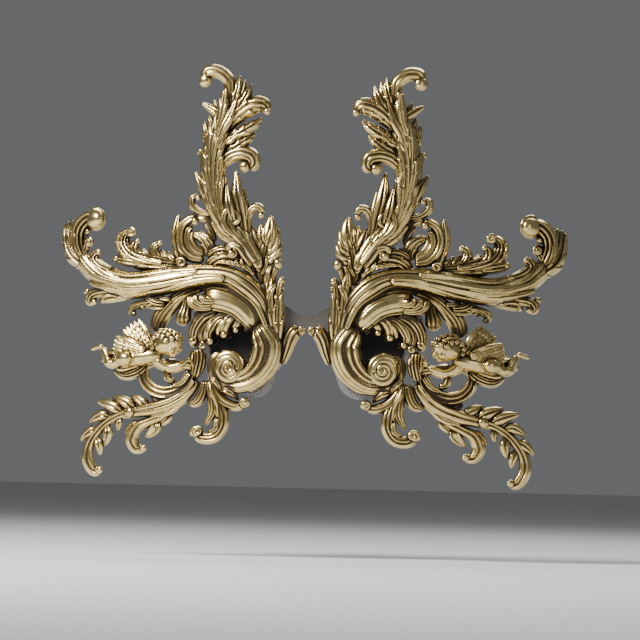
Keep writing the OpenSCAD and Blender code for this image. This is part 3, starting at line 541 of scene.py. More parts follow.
def wing_curl(c):
    c.roll([(158, 55, 4.4), (168, 62, 4.8), (173, 71, 3.8), (174.2, 80, 3), (175.5, 87, 1.2)], fluted(2), 2,
           lobes=4, lobe_depth=0.15)
    c.roll([(160, 58, 4.2), (168, 70, 4), (171, 81, 3.1), (173.4, 89, 1)], fluted(2), 2.2, lobes=3,
           lobe_depth=0.15)
    c.roll([(161, 58, 3.2), (166.5, 70, 3.3, 2), (167.6, 80, 2.9, 2), (169.8, 90, 1)], almond, 2.2)
    c.roll([(159, 60, 4.4), (164, 72, 5.4), (163.5, 82, 5.8), (157.5, 89, 5.8), (150, 89.5, 5.4)],
           fluted(3), 1.8)
    c.bead(149.5, 89, 7.4, 1.4, rows=16)
    c.spiral(149.6, 89, 60, 0.8, 7.2, 6.2, 2.2, 5, 3)
    c.roll([(160, 61, 2.8), (157.8, 66.5, 3), (155.4, 71, 2.8)], fluted(2), 2.6)
    c.bead(155.1, 72.3, 4.5, 1)
    c.spiral(155.1, 72.3, 90, 1.4, 3.4, 1, 1.2, 5, 7)
    c.roll([(164, 80, 2.6), (160, 81, 2.3), (157, 80.3, 2.2)], dome, 3)
    c.bead(156.7, 80.3, 3.2, 2)
    c.leaf((160, 62), (154, 56.5), 2.3, 0.2, 1.8, 4)
    c.roll([(166, 57, 1.8, 2), (171, 65, 2.2, 3), (173.6, 74, 1.5, 3)], dome, 1.6)


SPRAY = [(90, 52.5, 4.4), (103, 54, 6), (115, 56.5, 7.2), (125, 60.5, 7), (131, 68, 5.6), (130.5, 75, 4.6),
         (125.5, 78, 3.8)]


def spray_leaf(c):
    c.roll(SPRAY, fluted(4, 0.4), 1.3, lobes=5, lobe_depth=0.18)
    c.bead(125, 77.6, 4, 1.4)
    c.spiral(125.2, 77.4, 60, 1.2, 3.2, 0.9, 1.4, 5, 6.6)
    c.roll([(114, 54, 3.2), (127, 56.5, 4.3), (137, 58.5, 2.9)], fluted(3), 2)
    c.bead(136, 58.2, 2.5, 3)
    c.roll([(119, 58, 2.8), (123, 65, 3.2), (121, 72, 2.6)], fluted(2), 2.8)
    c.bead(120.6, 70.6, 2.4, 4)
    c.roll([(111, 57, 2.7), (115, 61.5, 2.8), (117.3, 66, 1.4)], almond, 2.4)
    c.roll([(100, 55, 3), (106.5, 60, 3.2), (108, 66.5, 3), (104, 70, 2.4)], fluted(3), 2)
    c.bead(104.2, 69.4, 2.4, 2)
    c.leaf((96, 55), (103, 65.5), 2.8, 0.1, 1.8)
    c.leaf((90, 55), (98.5, 64), 2.8, 0.1, 1.8)
    c.bead(87.5, 54.5, 4, 3)
    c.spiral(87.5, 54.5, 20, 1.3, 3.4, 1, 1.2, 7, 9)
    c.strand(SPRAY, 0.02, 0.5, (-2.5, -4.5), 2.1, 5.6, fluted(2), lobes=4)
    c.strand(SPRAY, 0.15, 0.7, (0.6, 1.6), 2, 7.2, keel, lobes=5)
    c.strand(SPRAY, 0.3, 0.8, (-2, -4.4), 1.9, 6.4, keel, lobes=4)


LOWER = [(119, 35, 3.2), (131, 36, 4.8), (143, 37, 5), (152, 35, 4.4), (154.5, 30, 3.5), (151, 28.3, 2.2)]


def lower_leaf(c):
    c.roll(LOWER, fluted(3, 0.4), 1.7, lobes=4, lobe_depth=0.15)
    c.bead(151.4, 29.3, 2.6, 3)
    c.roll([(126, 33.5, 2.2), (137, 32, 2.8), (143.8, 31, 2.6), (143.6, 28.4, 1.9)], fluted(2), 2)
    c.strand(LOWER, 0.05, 0.6, (1.8, 2.6), 1.6, 6, keel)
    c.bead(157, 38, 2.6, 1)
    c.roll([(150, 38, 2.2), (157, 38, 1.8)], dome, 2)


def mid_leaf(c):
    c.roll([(98, 29, 3.2), (109, 30.5, 4), (118.5, 29, 3.4), (123.5, 24.5, 3.1), (122.3, 19.5, 2.4)],
           fluted(3), 1.7, lobes=3, lobe_depth=0.15)
    c.bead(122.2, 20.6, 2.4, 2)
    c.bead(116, 26.3, 2.5, 1)
    c.roll([(98, 30, 3.2), (106, 31, 3.7), (110.8, 34.6, 3.3), (108.5, 38.8, 2.7)], fluted(3), 2.4)
    c.bead(108.4, 37.8, 2.3, 3.4)
    c.roll([(94, 33, 2.2), (101, 34, 2.3), (103.5, 38, 1.6)], fluted(2), 3.6)
    c.leaf((98, 27), (112, 27.5), 2, 0.1, 1.6, 3)


STRAP = [(70, 41, 2.6), (80, 37.5, 3.3), (90, 32, 4.4), (97.5, 25, 5.2), (102.5, 18, 5.4), (105, 9, 4.6)]


def strap(c):
    c.roll(STRAP, fluted(4, 0.5), 1.1)
    c.strand(STRAP, 0.1, 0.85, (-1.6, -3), 1.3, 3.6, dome)
    c.roll([(84, 33, 2.6), (84.5, 26, 3.6), (86.2, 19, 4.8), (86.2, 13.5, 3.8)], fluted(3), 1.7)


# ---- Crest castings ----

TRUNK = [(33, 45, 2.2), (37, 59, 3.4), (46, 70, 5.8), (57, 80, 7), (64, 95, 7.4), (67.5, 112, 8.4),
         (68, 130, 8.8), (65, 146, 8), (60, 160, 5.8), (56.5, 176, 3.6)]


def plume(c):
    c.roll(TRUNK, fluted(3, 0.4, twist=1.5), 1.15, lobes=8, lobe_depth=0.16)
    for k in range(5):
        start = 0.06 + 0.16 * k
        c.strand(TRUNK, start, start + 0.27, (1.2, 7 - 0.5 * k), 3.6, 6.4, almond, 1.1, lobes=2)
        c.strand(TRUNK, start + 0.07, start + 0.34, (-1.2, -7.2 + 0.5 * k), 3.6, 6.4, fluted(2),
                 1.1, lobes=2)
    c.strand(TRUNK, 0.1, 0.95, (0, 0), 1.9, 9, keel, 0.8)
    c.roll([(57, 172, 3.4), (58.5, 183, 4), (65.5, 189, 4.2), (73, 189.2, 4.4), (76.4, 185, 4)],
           fluted(2, 0.3), 1.8)
    c.bead(75.4, 183, 4.6, 1)
    c.spiral(75.2, 183.2, 40, 1.2, 3, 0.8, 1.3, 4.6, 6)
    c.roll([(46, 73.5, 2, 5), (54, 77, 2.3, 6), (59.5, 84.5, 2.3, 6.4), (57.5, 92.5, 2, 6),
            (51, 93.5, 1.6, 5)], fluted(2, 0.3), 1.8)
    c.spiral(53, 87, 60, 1.2, 5.2, 2, 1.7, 5, 7.4)
    c.roll([(64, 88, 2.8), (72, 102, 3.4), (77.5, 113, 2.9), (81.5, 120.2, 0.9)], almond, 1.8)
    c.roll([(66, 90, 2.2), (76, 91.3, 2.4), (82.3, 96, 2.4), (82.8, 102, 2.1), (77.8, 102.6, 1.7)],
           fluted(2), 2.2)
    c.bead(78.6, 101.6, 2.1, 2)
    c.roll([(44, 74, 2.8), (47, 90, 3.9), (50.3, 104, 4.3), (52, 121, 0.9)], almond, 1.8)
    c.roll([(45, 80, 2.8), (45.2, 95, 3.2), (46.6, 108.6, 0.9)], almond, 1.8)
    c.roll([(52, 84, 2.6), (56, 97, 3.4), (58.3, 111, 1)], almond, 2.2, 3)
    c.roll([(42, 76, 2.6), (43, 87, 2.7), (40, 94.2, 2.7), (34.6, 95.3, 2.6), (32, 91, 2.2)], fluted(2), 2)
    c.bead(33.2, 89.8, 2.2, 1)
    c.roll([(64, 124, 3.6), (56, 130.5, 4.4), (48, 132.6, 4.8), (41, 130.6, 4.8), (39.4, 125.5, 4.2),
            (42.5, 122, 3.4)], fluted(3, 0.35), 1.7)
    c.bead(45.6, 123.4, 4, 1)
    c.leaf((62, 132), (39, 147), 4.8, -0.05, 1.5, lobes=4)
    c.leaf((62, 143), (34.2, 157.2), 4.8, -0.08, 1.5, lobes=4)
    c.leaf((64, 138), (46.6, 151), 3, -0.08, 1.7, 3, lobes=3)
    c.roll([(60, 150, 4), (51, 159.6, 5.6), (41.5, 165.6, 6), (33.6, 166, 5), (30, 161, 2.8)],
           fluted(3, 0.35), 1.4, lobes=4, lobe_depth=0.12)
    c.bead(30.6, 161.6, 2.4, 3)
    leaves = [((57, 164), (50.8, 187), 4, -0.06), ((55, 160), (42.2, 181), 4.2, -0.06),
              ((58, 166), (55.4, 187), 3.2, 0), ((56, 160), (46.8, 184), 3.2, -0.04),
              ((59, 160), (61, 177.3), 2.6, 0), ((60, 157), (69.3, 170.4), 2.6, 0.08),
              ((69, 140), (75.3, 155.4), 2.8, 0.1), ((66, 148), (72, 160), 2.5, 0.1)]
    for base, tip, half, bow in leaves:
        c.leaf(base, tip, half, bow, 1.8, lobes=3)
    c.roll([(61, 155, 3.2), (67.5, 161.5, 3.3), (77.8, 168, 0.9)], almond, 1.9)
    c.roll([(71, 120, 2.6), (75.4, 128, 2.2), (77.4, 134.3, 1.8), (79.6, 131.8, 1.4)], dome, 2)
    c.spiral(73, 143, 200, 1, 2.6, 2, 1.3, 2, 3)


def crest_leaf(c):
    c.roll([(32, 42, 2.2), (33.3, 52, 3.4), (33.8, 62, 4.2), (31, 71, 4.2)], fluted(3, 0.4), 1.5)
    leaves = [((31, 66), (27, 89), 4.2, -0.08, 1.4), ((30, 64), (21, 80), 3.6, -0.06, 1.4),
              ((31, 60), (18.4, 70.5), 3.9, -0.1, 1.3), ((31, 66), (34.8, 83.2), 3.2, 0, 1.6),
              ((33, 62), (41.5, 81.8), 3.4, 0.06, 1.6), ((30, 63), (19.6, 75.4), 3, -0.08, 1.8),
              ((30.6, 65), (24, 85), 3, -0.06, 2), ((32, 65), (37.6, 80), 2.5, 0.05, 2),
              ((31, 58), (22.8, 64.8), 2.6, -0.2, 1.8), ((31, 68), (30.4, 84), 2.2, 0, 2.8)]
    for base, tip, half, bow, swell in leaves:
        c.leaf(base, tip, 1.35 * half, bow, swell)
    c.leaf((33, 48), (29, 62), 1.8, -0.1, 1.6, 4)
    c.leaf((33, 50), (38, 62), 1.8, 0.1, 1.6, 4)


def side_shell(c):
    c.roll([(86, 50, 3.2), (91.3, 66, 3.6), (93.3, 78, 3.5), (91.4, 90, 1.2)], fluted(2, 0.4), 1.6)
    c.roll([(70, 56.5, 2.6), (81, 59, 3.4), (88, 65.5, 3.6), (90, 74, 3.4), (87.5, 82.5, 3.2),
            (80.5, 87.3, 2.8), (76.8, 85, 2.2)], fluted(2, 0.4), 2)
    c.bead(78, 84.8, 2.8, 2)
    c.roll([(70, 60, 2.8), (79, 63, 3.6), (84, 70, 3.4), (83.5, 78, 3), (80, 81.5, 1.9)],
           fluted(2, 0.4), 1.5)
    c.roll([(70, 63, 2), (77, 66, 2.7), (80.5, 72, 2.4), (79.6, 78, 1.4)], dome, 1.6)
    c.roll([(64, 82, 2.2), (70.5, 87.3, 2.7), (77, 87.8, 2.4)], fluted(2), 2)
    c.roll([(66, 59, 3), (67.5, 67, 4), (72.5, 73.5, 3.8), (80, 75.5, 2.4)], fluted(3, 0.4), 1.4, lobes=3)
    c.roll([(62, 64, 2.6), (67, 71.5, 3, 1), (74, 76.5, 1.8, 1)], almond, 2)
    c.roll([(62, 70, 2.2), (65, 78, 2.6, 1), (70, 84, 1.6, 1)], almond, 1.8)


def flower_leaf(c):
    c.roll([(45, 58, 3.2), (55, 61, 5.6), (64, 58.5, 5), (70.5, 52, 2.2)], fluted(3, 0.4), 1.6, lobes=4,
           lobe_depth=0.15)
    c.roll([(47, 61, 2.8), (57, 66, 4), (65, 64.5, 3.4), (69, 60.5, 1.6)], fluted(3, 0.4), 2.1, lobes=4,
           lobe_depth=0.15)
    c.roll([(38, 54, 2.4, 3), (43.5, 62.5, 2.8, 5), (48, 68.3, 2.8, 6), (53.5, 68.8, 2.6, 6),
            (55.2, 64.5, 2, 6)], fluted(2, 0.4), 1.4)
    c.leaf((37, 47.5), (50, 60), 2.6, -0.05, 1.6, 3, lobes=3)
    c.bead(52.6, 63.4, 2.8, 6)
    c.spiral(52.4, 63.6, 100, 1.2, 3.4, 1, 1.3, 7, 8)
    for k in range(5):
        c.leaf((42 + 2.6 * k, 52 + 1.8 * k), (46 + 4.8 * k, 61 - 0.6 * k), 1.6, 0.12, 1.8, 5)


# ---- Hanging castings ----

LOOP = [(102, -6, 2.8), (110, -10, 3.5), (113.8, -18, 3.8), (112.4, -26, 3.9), (106.5, -32, 4.1),
        (98, -34.2, 4.3), (89, -32.3, 4.1), (81.5, -26.5, 3.9), (77, -18, 3.4)]


def ribbon_loop(c):
    c.roll([(73, -2, 3.2), (72, -9, 3.7), (73, -16, 3.7), (75, -24, 3.2)], fluted(3), 2.2)
    c.roll([(76, -4, 2.2), (76.5, -12, 2.5, 2), (74.5, -20, 2, 2)], keel, 2)
    c.roll([(69.5, -5, 2), (69, -13, 2.4, 1), (71, -21, 1.6, 1)], almond, 2)
    c.roll(LOOP, CURL, 1.6)
    c.roll([(97, -16, 2.2), (95.2, -24, 2.6), (89.6, -26.5, 2.3)], fluted(2), 2.4)
    c.roll([(75, -17, 2.8), (86, -14.5, 3), (98, -13, 3.2)], fluted(2), 2)
    c.roll([(78, -20, 1.8, 3), (84, -27, 2, 3.6), (92, -30, 1.4, 3)], almond, 1.6)


def tendrils(c):
    c.roll([(66, -22, 3.2), (61, -32, 3.6), (54.5, -38.4, 3.6), (47, -41, 3.2), (42, -39.6, 2.9)],
           fluted(2, 0.4), 1.7)
    c.bead(40.8, -38, 3.8, 0.8)
    c.spiral(40.9, -38, 250, 1.2, 2.8, 0.8, 1.3, 4, 5.4)
    c.leaf((60, -29), (45.2, -36.4), 3, 0.14, 2.2)
    c.roll([(63, -27, 3.2), (59, -38, 3.4), (56, -48, 3.9), (56.8, -57, 4), (62, -64, 4), (70, -64.6, 4),
            (73.6, -61, 3.4)], fluted(3, 0.4), 1.7)
    c.bead(73.8, -60, 4.6, 0.8)
    c.spiral(73.6, -60.2, 300, 1.3, 3.6, 1, 1.5, 5, 7)
    c.roll([(60, -50, 1.6, 3), (60.6, -58, 2, 4), (66, -61, 1.3, 3)], almond, 1.6)
    c.roll([(67, -24, 2.8), (63.4, -36, 3.4), (63.6, -47, 3), (68.3, -55.2, 1.2)], fluted(3), 1.8)
    c.roll([(69, -22, 2.6), (70.4, -31, 3.3), (74, -38, 3.3), (79.8, -39.8, 1.9)], fluted(3), 1.9)
    c.roll([(66, -21, 2.2), (64, -30, 2.5, 3), (60, -40, 2.2, 3), (58.6, -50, 1.4, 3)], keel, 1.8)
    c.leaf((66, -20), (58, -30), 2.6, 0.15, 1.6, 3)


LAUREL_STEM = [(75, -22, 3), (79, -29, 4), (86, -36, 4.8), (95, -41, 5), (105, -44, 4.8), (121, -47, 3.4),
               (130, -49, 2.9), (139, -54, 2.9), (147, -62, 3.1), (152.3, -71.5, 3.5), (152.8, -81, 3.9),
               (148.5, -88.8, 3.7), (143, -89.6, 2.6)]


def laurel(c):
    c.roll(LAUREL_STEM, BOUGH, 1.5)
    leaflets = [((99, -42), (108, -35), 2.8, -0.1), ((109, -45), (121.6, -35.2), 3.6, -0.1),
                ((118, -46), (135.7, -35.8), 3.9, -0.08), ((127, -48), (146.6, -38.8), 4, -0.06),
                ((136, -52), (152, -55), 3.7, -0.24), ((145, -60), (158, -68), 3.5, -0.16),
                ((140, -55), (141, -71.5), 3.3, 0.12), ((148, -64), (143.6, -78), 3, 0.08),
                ((131, -50), (131.5, -60), 2.4, 0.1)]
    for base, tip, half, bow in leaflets:
        c.leaf(base, tip, half, bow, 1.5, curl=1.5)
    c.roll([(88, -41, 2.7), (98, -48.4, 3), (108, -53.2, 3.2), (116.5, -57.5, 3.8), (120.4, -65, 4.2),
            (117.4, -72.3, 3.7), (110.5, -72.9, 2.3)], fluted(2, 0.4), 1.7)
    c.bead(112, -72.4, 2.6, 2.4)
    c.leaf((102, -52), (111, -64.3), 3.6, 0.12, 1.4, shape=spoon)
    c.leaf((114, -54), (125.2, -62.8), 3, -0.1, 1.6)
    c.leaf((93, -45), (103, -56), 2.6, 0.15, 1.4)
    c.roll([(84, -38, 1.8, 2), (95, -46.4, 2.4, 3), (107, -49.6, 1.4, 3)], almond, 1.4)
    c.bead(122.6, -46.8, 4, 0.8)
    c.bead(144, -88.8, 2.8, 2)
    c.strand(LAUREL_STEM, 0.02, 0.4, (1.4, 2.6), 1.8, 5, keel)


# ---- Cherub ----

HEAD = np.array((96.4, 3.4, 11.5))
HEAD_SIZE = 1.2
FACE_WAY = np.array((-0.78, -0.22, 0.58))


def on_head(side, up, front):
    """A place on the head, from sizes sideways, up and forwards as the face looks."""
    forward = FACE_WAY / np.linalg.norm(FACE_WAY)
    sideways = np.cross(forward, (0.12, 0.98, 0.1))
    sideways /= np.linalg.norm(sideways)
    crown = np.cross(sideways, forward)
    return HEAD + HEAD_SIZE * (side * sideways + up * crown + front * forward)


def cherub_head(c):
    """A calm child's face on plain proportions: forehead, brows, nose, cheeks, lips and chin."""
    middle = [(0.6, -0.4, 8.0), (2.2, 2.2, 6.2), (-2.6, 2.8, 5.0), (-5.4, 5.2, 2.0), (-1.0, 8.3, 1.15),
              (0.6, 7.8, 0.85), (-3.2, 7.4, 0.85), (-4.1, 7.1, 0.8)]
    paired = [(2.9, -2.2, 5.2, 2.8), (2.6, 1.9, 6.9, 0.95), (1.5, 1.7, 7.5, 0.8), (2.6, 0.2, 6.6, 1.15),
              (0.9, -1.2, 7.7, 0.7), (7.2, -0.6, -0.4, 1.6)]
    for up, front, r in middle:
        c.ball(on_head(0, up, front), HEAD_SIZE * r)
    for side, up, front, r in paired:
        c.ball(on_head(side, up, front), HEAD_SIZE * r)
        c.ball(on_head(-side, up, front), HEAD_SIZE * r)


def cherub_body(c):
    cherub_head(c)
    c.roll([(100, -2, 4), (107, -5, 6.2), (114, -6.8, 6.8), (121, -8, 6.6), (127, -8.6, 7.4),
            (132.5, -9, 5.2)], dome, 1.7, 3)
    c.ball((126.5, -8.4, 12), 6.4)
    c.roll([(128, -8, 5), (134, -12, 4.2), (137.8, -11.4, 3.3), (140.6, -4, 2.7), (142.6, 1.6, 2)],
           dome, 1.8, 5)
    c.ball((137.4, -12, 9.6), 3.2)
    c.roll([(142.2, 2.8, 2.3), (146.6, 1.2, 1.8), (151.2, -0.6, 1.6)], dome, 2, 5)
    c.roll([(130, -2, 4), (138, -4.5, 2.8), (141, -9, 2.3), (143.2, -11, 1.8)], dome, 1.6, 2)
    c.roll([(106, -8, 4.2), (100.5, -13.4, 3.5), (95, -15, 2.9), (88, -12.6, 2.5), (84, -10.2, 1.7)],
           dome, 1.7, 5)
    c.roll([(103, -8, 3), (95, -17, 2.8), (86, -14, 2.1), (82.6, -12.4, 1.6)], dome, 1.7, 4)
    for k in range(4):
        c.roll([(84.4, -10.4 + 0.3 * k, 1.1, 6.5), (81.9 - 0.2 * k, -9.6 + 0.9 * k, 0.75, 7),
                (80.6, -8.6 + 0.7 * k, 0.6, 6.5)], dome, 1.5)


def wing(c, root, angles, reach, lift):
    """Rows of overlapping feathers that fan out from the root of a wing, shorter towards the root."""
    bearings = np.radians(np.linspace(*angles, 6))
    for row, share in enumerate((0.78, 0.6, 0.45, 0.31, 0.18)):
        rail = [(root[0] + share * reach * math.cos(a), root[1] + share * reach * math.sin(a),
                 lift + 1.2 * row) for a in bearings]
        c.row(rail, FEATHER, 2.5 - 0.25 * row, reach * (0.046 - 0.005 * row), math.pi / 2, 0.1)
    first = bearings[0]
    edge = [(root[0] + far * reach * math.cos(a), root[1] + far * reach * math.sin(a), half, lift + up)
            for far, a, half, up in ((0.5, first + 0.12, 2, 3), (1, first, 0.8, 1))]
    c.roll([(*root, 1.8, lift + 2)] + edge, fluted(2), 1.2)


def hair(c):
    """Rows of curls from the forehead over the crown and down to the nape."""
    for side, size in ((-6.4, 0.5), (-3.4, 0.62), (0.2, 0.66), (3.6, 0.62), (6.6, 0.5)):
        arc = math.sqrt(8.6**2 - side**2)
        rail = [tuple(on_head(side, arc * math.sin(a) + 0.6, arc * math.cos(a) - 0.4))
                for a in np.radians(np.linspace(38, 212, 9))]
        c.row(rail, LOCK, 3.6, HEAD_SIZE * size, side, 0.15)


def cherub(c):
    body = Casting()
    cherub_body(body)
    c.add_all(*joined_by_voxels(*body.arrays(), 0.45))
    hair(c)
    wing(c, (110.5, -1), (27, -14), 25.5, 9)
    wing(c, (108, 2.5), (66, 32), 25, 4)
    c.row([(106, 0, 11), (109, 2.4, 12), (112, 1, 12.4), (113.5, -2, 12)], LOCK, 2.6, 0.5, 0.4)
    c.roll([(103, -10, 2.8), (111, -12, 3.9), (118, -18.4, 4.6), (127, -21.4, 4), (134.5, -16.5, 1.6)],
           fluted(4, 0.5), 1.8)
    c.roll([(113, -11, 2, 6), (121, -14.5, 2.4, 6.6), (129, -16.5, 2.4, 6), (134, -13.4, 1.2, 5)],
           fluted(2), 1.4)
    c.roll([(132, -2, 1.4, 6), (136.5, -3.6, 2, 6), (139.4, -1, 1, 5)], fluted(2), 1.4)


# ---- From a casting to a piece ----

def crevices(points, normals, tree):
    """How shut in each point is, from 0 in the open to 1 in a hollow, for the painted shade in the gilt."""
    golden = math.pi * (3 - math.sqrt(5))
    ups = [math.sqrt(1 - (k + 0.5) / SHADE_RAYS) for k in range(SHADE_RAYS)]
    rays = [Vector((math.sqrt(1 - u * u) * math.cos(golden * k),
                    math.sqrt(1 - u * u) * math.sin(golden * k), u)) for k, u in enumerate(ups)]
    blocked = np.zeros(len(points))
    reach = SHADE_REACH * MM
    straight = Vector((0, 0, 1))
    for i, (point, normal) in enumerate(zip(points, normals)):
        n = Vector(normal)
        spin = straight.rotation_difference(n).to_matrix()
        start = Vector(point) + n * (SHADE_START * MM)
        for ray in rays:
            far = tree.ray_cast(start, spin @ ray, reach)[3]
            if far is not None:
                blocked[i] += 1 - far / reach
    return np.clip(blocked / SHADE_RAYS * SHADE_GAIN, 0, 1)


def joined_by_voxels(points, faces, size):
    """Melts strokes into one smooth figure."""
    obj = bpy.data.objects.new("melt", mesh_of("melt", points, faces))
    bpy.context.collection.objects.link(obj)
    remesh = obj.modifiers.new("voxels", "REMESH")
    remesh.mode = "VOXEL"
    remesh.voxel_size = size
    soften = obj.modifiers.new("soften", "SMOOTH")
    soften.factor = 0.5
    soften.iterations = 5
    bpy.context.view_layer.update()
    depsgraph = bpy.context.evaluated_depsgraph_get()
    made = arrays_of(bpy.data.meshes.new_from_object(obj.evaluated_get(depsgraph)))
    bpy.data.objects.remove(obj)
    return made


def turned(points, about, degrees):
    """Turns a casting on the face, so that what lies outwards moves down."""
    a = math.radians(degrees)
    shifted = points[:, :2] - about
    turn = np.array([[math.cos(a), math.sin(a)], [-math.sin(a), math.cos(a)]])
    return np.column_stack([shifted @ turn.T + about, points[:, 2]])


# ---- Materials ----

def material(name):
    """A new material with its Principled shader."""
    made = bpy.data.materials.new(name)
    made.use_nodes = True
    nodes = made.node_tree.nodes
    nodes.clear()
    shader = nodes.new("ShaderNodeBsdfPrincipled")
    made.node_tree.links.new(shader.outputs[0], nodes.new("ShaderNodeOutputMaterial").inputs["Surface"])
    return made, shader


def fine_grain_group():
    """Surface grain: two sizes of noise over the piece, as a height and as a slow change of tone."""
    group = bpy.data.node_groups.new("fine_grain", "ShaderNodeTree")
    sockets = group.interface
    for label, value in (("Grain Size", 900.0), ("Pit Size", 3200.0), ("Pits", 0.3)):
        sockets.new_socket(label, in_out="INPUT", socket_type="NodeSocketFloat").default_value = value
    for label in ("Height", "Tone"):
        sockets.new_socket(label, in_out="OUTPUT", socket_type="NodeSocketFloat")
    link = group.links.new
    given = group.nodes.new("NodeGroupInput")
    place = group.nodes.new("ShaderNodeTexCoord")
    grain, pits, tone = (group.nodes.new("ShaderNodeTexNoise") for _ in range(3))
    for noise in (grain, pits, tone):
        link(place.outputs["Object"], noise.inputs["Vector"])
        noise.inputs["Detail"].default_value = 3
    link(given.outputs["Grain Size"], grain.inputs["Scale"])
    link(given.outputs["Pit Size"], pits.inputs["Scale"])
    tone.inputs["Scale"].default_value = TONE_SCALE
    mixed = group.nodes.new("ShaderNodeMix")
    link(given.outputs["Pits"], mixed.inputs["Factor"])
    link(grain.outputs["Fac"], mixed.inputs["A"])
    link(pits.outputs["Fac"], mixed.inputs["B"])
    result = group.nodes.new("NodeGroupOutput")
    link(mixed.outputs["Result"], result.inputs["Height"])
    link(tone.outputs["Fac"], result.inputs["Tone"])
    return group


def use_grain(tree, grain_size, pit_size, pits):
    """Places the grain group in a material."""
    used = tree.nodes.new("ShaderNodeGroup")
    used.node_tree = FINE_GRAIN
    used.inputs["Grain Size"].default_value = grain_size
    used.inputs["Pit Size"].default_value = pit_size
    used.inputs["Pits"].default_value = pits
    return used


def bumped(tree, shader, height, distance):
    bump = tree.nodes.new("ShaderNodeBump")
    bump.inputs["Distance"].default_value = distance
    tree.links.new(height, bump.inputs["Height"])
    tree.links.new(bump.outputs["Normal"], shader.inputs["Normal"])


def ramp(tree, value, *stops):
    """A colour that changes with value; each stop is a place and a colour."""
    made = tree.nodes.new("ShaderNodeValToRGB")
    elements = made.color_ramp.elements
    while len(elements) < len(stops):
        elements.new(0.5)
    for element, (place, colour) in zip(elements, stops):
        element.position = place
        element.color = (*colour, 1)
    tree.links.new(value, made.inputs["Fac"])
    return made.outputs["Color"]


def level(tree, value, from_low, from_high, to_low, to_high):
    """Value moved from one range to another, and held there."""
    made = tree.nodes.new("ShaderNodeMapRange")
    made.interpolation_type = "SMOOTHSTEP"
    limits = {"From Min": from_low, "From Max": from_high, "To Min": to_low, "To Max": to_high}
    for label, number in limits.items():
        made.inputs[label].default_value = number
    tree.links.new(value, made.inputs["Value"])
    return made.outputs["Result"]


def calculated(tree, operation, a, b):
    made = tree.nodes.new("ShaderNodeMath")
    made.operation = operation
    for socket, value in zip(made.inputs, (a, b)):
        if isinstance(value, (int, float)):
            socket.default_value = value
        else:
            tree.links.new(value, socket)
    return made.outputs[0]


# Painted shade: pale gold in the open, darker to near black in hollows, part of it brown antiquing
GILT_TONES = [(0.0, (0.86, 0.68, 0.29)), (0.14, (0.53, 0.39, 0.14)), (0.36, (0.2, 0.138, 0.046)),
              (0.66, (0.045, 0.031, 0.012))]


def gilt():
    """Pale champagne gold lacquer over a casting; painted shade darkens its hollows, part of it brown
    antiquing.
    """
    made, shader = material("gilt")
    tree = made.node_tree
    # Reads how shut in each point is; the ramp below turns it into painted shade, part of it antiquing
    patina_and_shade = tree.nodes.new("ShaderNodeAttribute")
    patina_and_shade.attribute_name = "patina_and_shade"
    grain = use_grain(tree, 500, 1500, 0.3)
    uneven = calculated(tree, "MULTIPLY", calculated(tree, "SUBTRACT", grain.outputs["Tone"], 0.5), 0.35)
    shade = calculated(tree, "ADD", patina_and_shade.outputs["Fac"], uneven)
    tree.links.new(ramp(tree, shade, *GILT_TONES), shader.inputs["Base Color"])
    tree.links.new(level(tree, shade, 0.1, 0.8, 0.23, 0.56), shader.inputs["Roughness"])
    tree.links.new(level(tree, shade, 0.45, 0.85, 1.0, 0.55), shader.inputs["Metallic"])
    shader.inputs["Coat Weight"].default_value = 0.15
    shader.inputs["Coat Roughness"].default_value = 0.18
    bumped(tree, shader, grain.outputs["Height"], 0.00007)
    return made


def up_gradient(tree, low, high):
    """0 at the height low and 1 at the height high, in metres."""
    place = tree.nodes.new("ShaderNodeTexCoord")
    split = tree.nodes.new("ShaderNodeSeparateXYZ")
    tree.links.new(place.outputs["Object"], split.inputs[0])
    return level(tree, split.outputs["Z"], low, high, 0, 1)


def smoke_acetate():
    """Tinted acetate, dark along its top and clearer below, polished with a faint orange peel."""
    made, shader = material("smoke_acetate")
    tree = made.node_tree
    low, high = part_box("frame_front")
    tint = ramp(tree, up_gradient(tree, low.z, high.z), (0.0, (0.80, 0.79, 0.78)),
                (0.5, (0.62, 0.59, 0.57)), (0.95, (0.30, 0.27, 0.25)))
    tree.links.new(tint, shader.inputs["Base Color"])
    shader.inputs["Transmission Weight"].default_value = 0.85
    shader.inputs["IOR"].default_value = 1.49
    grain = use_grain(tree, 90, 320, 0.15)
    tree.links.new(level(tree, grain.outputs["Tone"], 0.2, 0.8, 0.05, 0.13), shader.inputs["Roughness"])
    bumped(tree, shader, grain.outputs["Height"], 0.000008)
    return made


def gradient_lens():
    """A nearly black gradient lens that gets a little lighter towards its lower edge."""
    made, shader = material("gradient_lens")
    tree = made.node_tree
    low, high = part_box("lens_left")
    tint = ramp(tree, up_gradient(tree, low.z, high.z), (0.0, (0.30, 0.27, 0.25)),
                (0.22, (0.06, 0.052, 0.05)), (0.5, (0.008, 0.007, 0.008)))
    tree.links.new(tint, shader.inputs["Base Color"])
    shader.inputs["Transmission Weight"].default_value = 0.5
    shader.inputs["IOR"].default_value = 1.5
    grain = use_grain(tree, 300, 6000, 0.1)
    tree.links.new(level(tree, grain.outputs["Tone"], 0.2, 0.8, 0.03, 0.08), shader.inputs["Roughness"])
    bumped(tree, shader, grain.outputs["Height"], 0.00001)
    return made


def clear_silicone():
    made, shader = material("clear_silicone")
    tree = made.node_tree
    grain = use_grain(tree, 500, 1500, 0.3)
    tint = ramp(tree, grain.outputs["Tone"], (0.3, (0.86, 0.86, 0.84)), (0.7, (0.93, 0.92, 0.90)))
    tree.links.new(tint, shader.inputs["Base Color"])
    shader.inputs["Transmission Weight"].default_value = 0.7
    shader.inputs["IOR"].default_value = 1.41
    tree.links.new(level(tree, grain.outputs["Tone"], 0.2, 0.8, 0.28, 0.42), shader.inputs["Roughness"])
    bumped(tree, shader, grain.outputs["Height"], 0.000006)
    return made


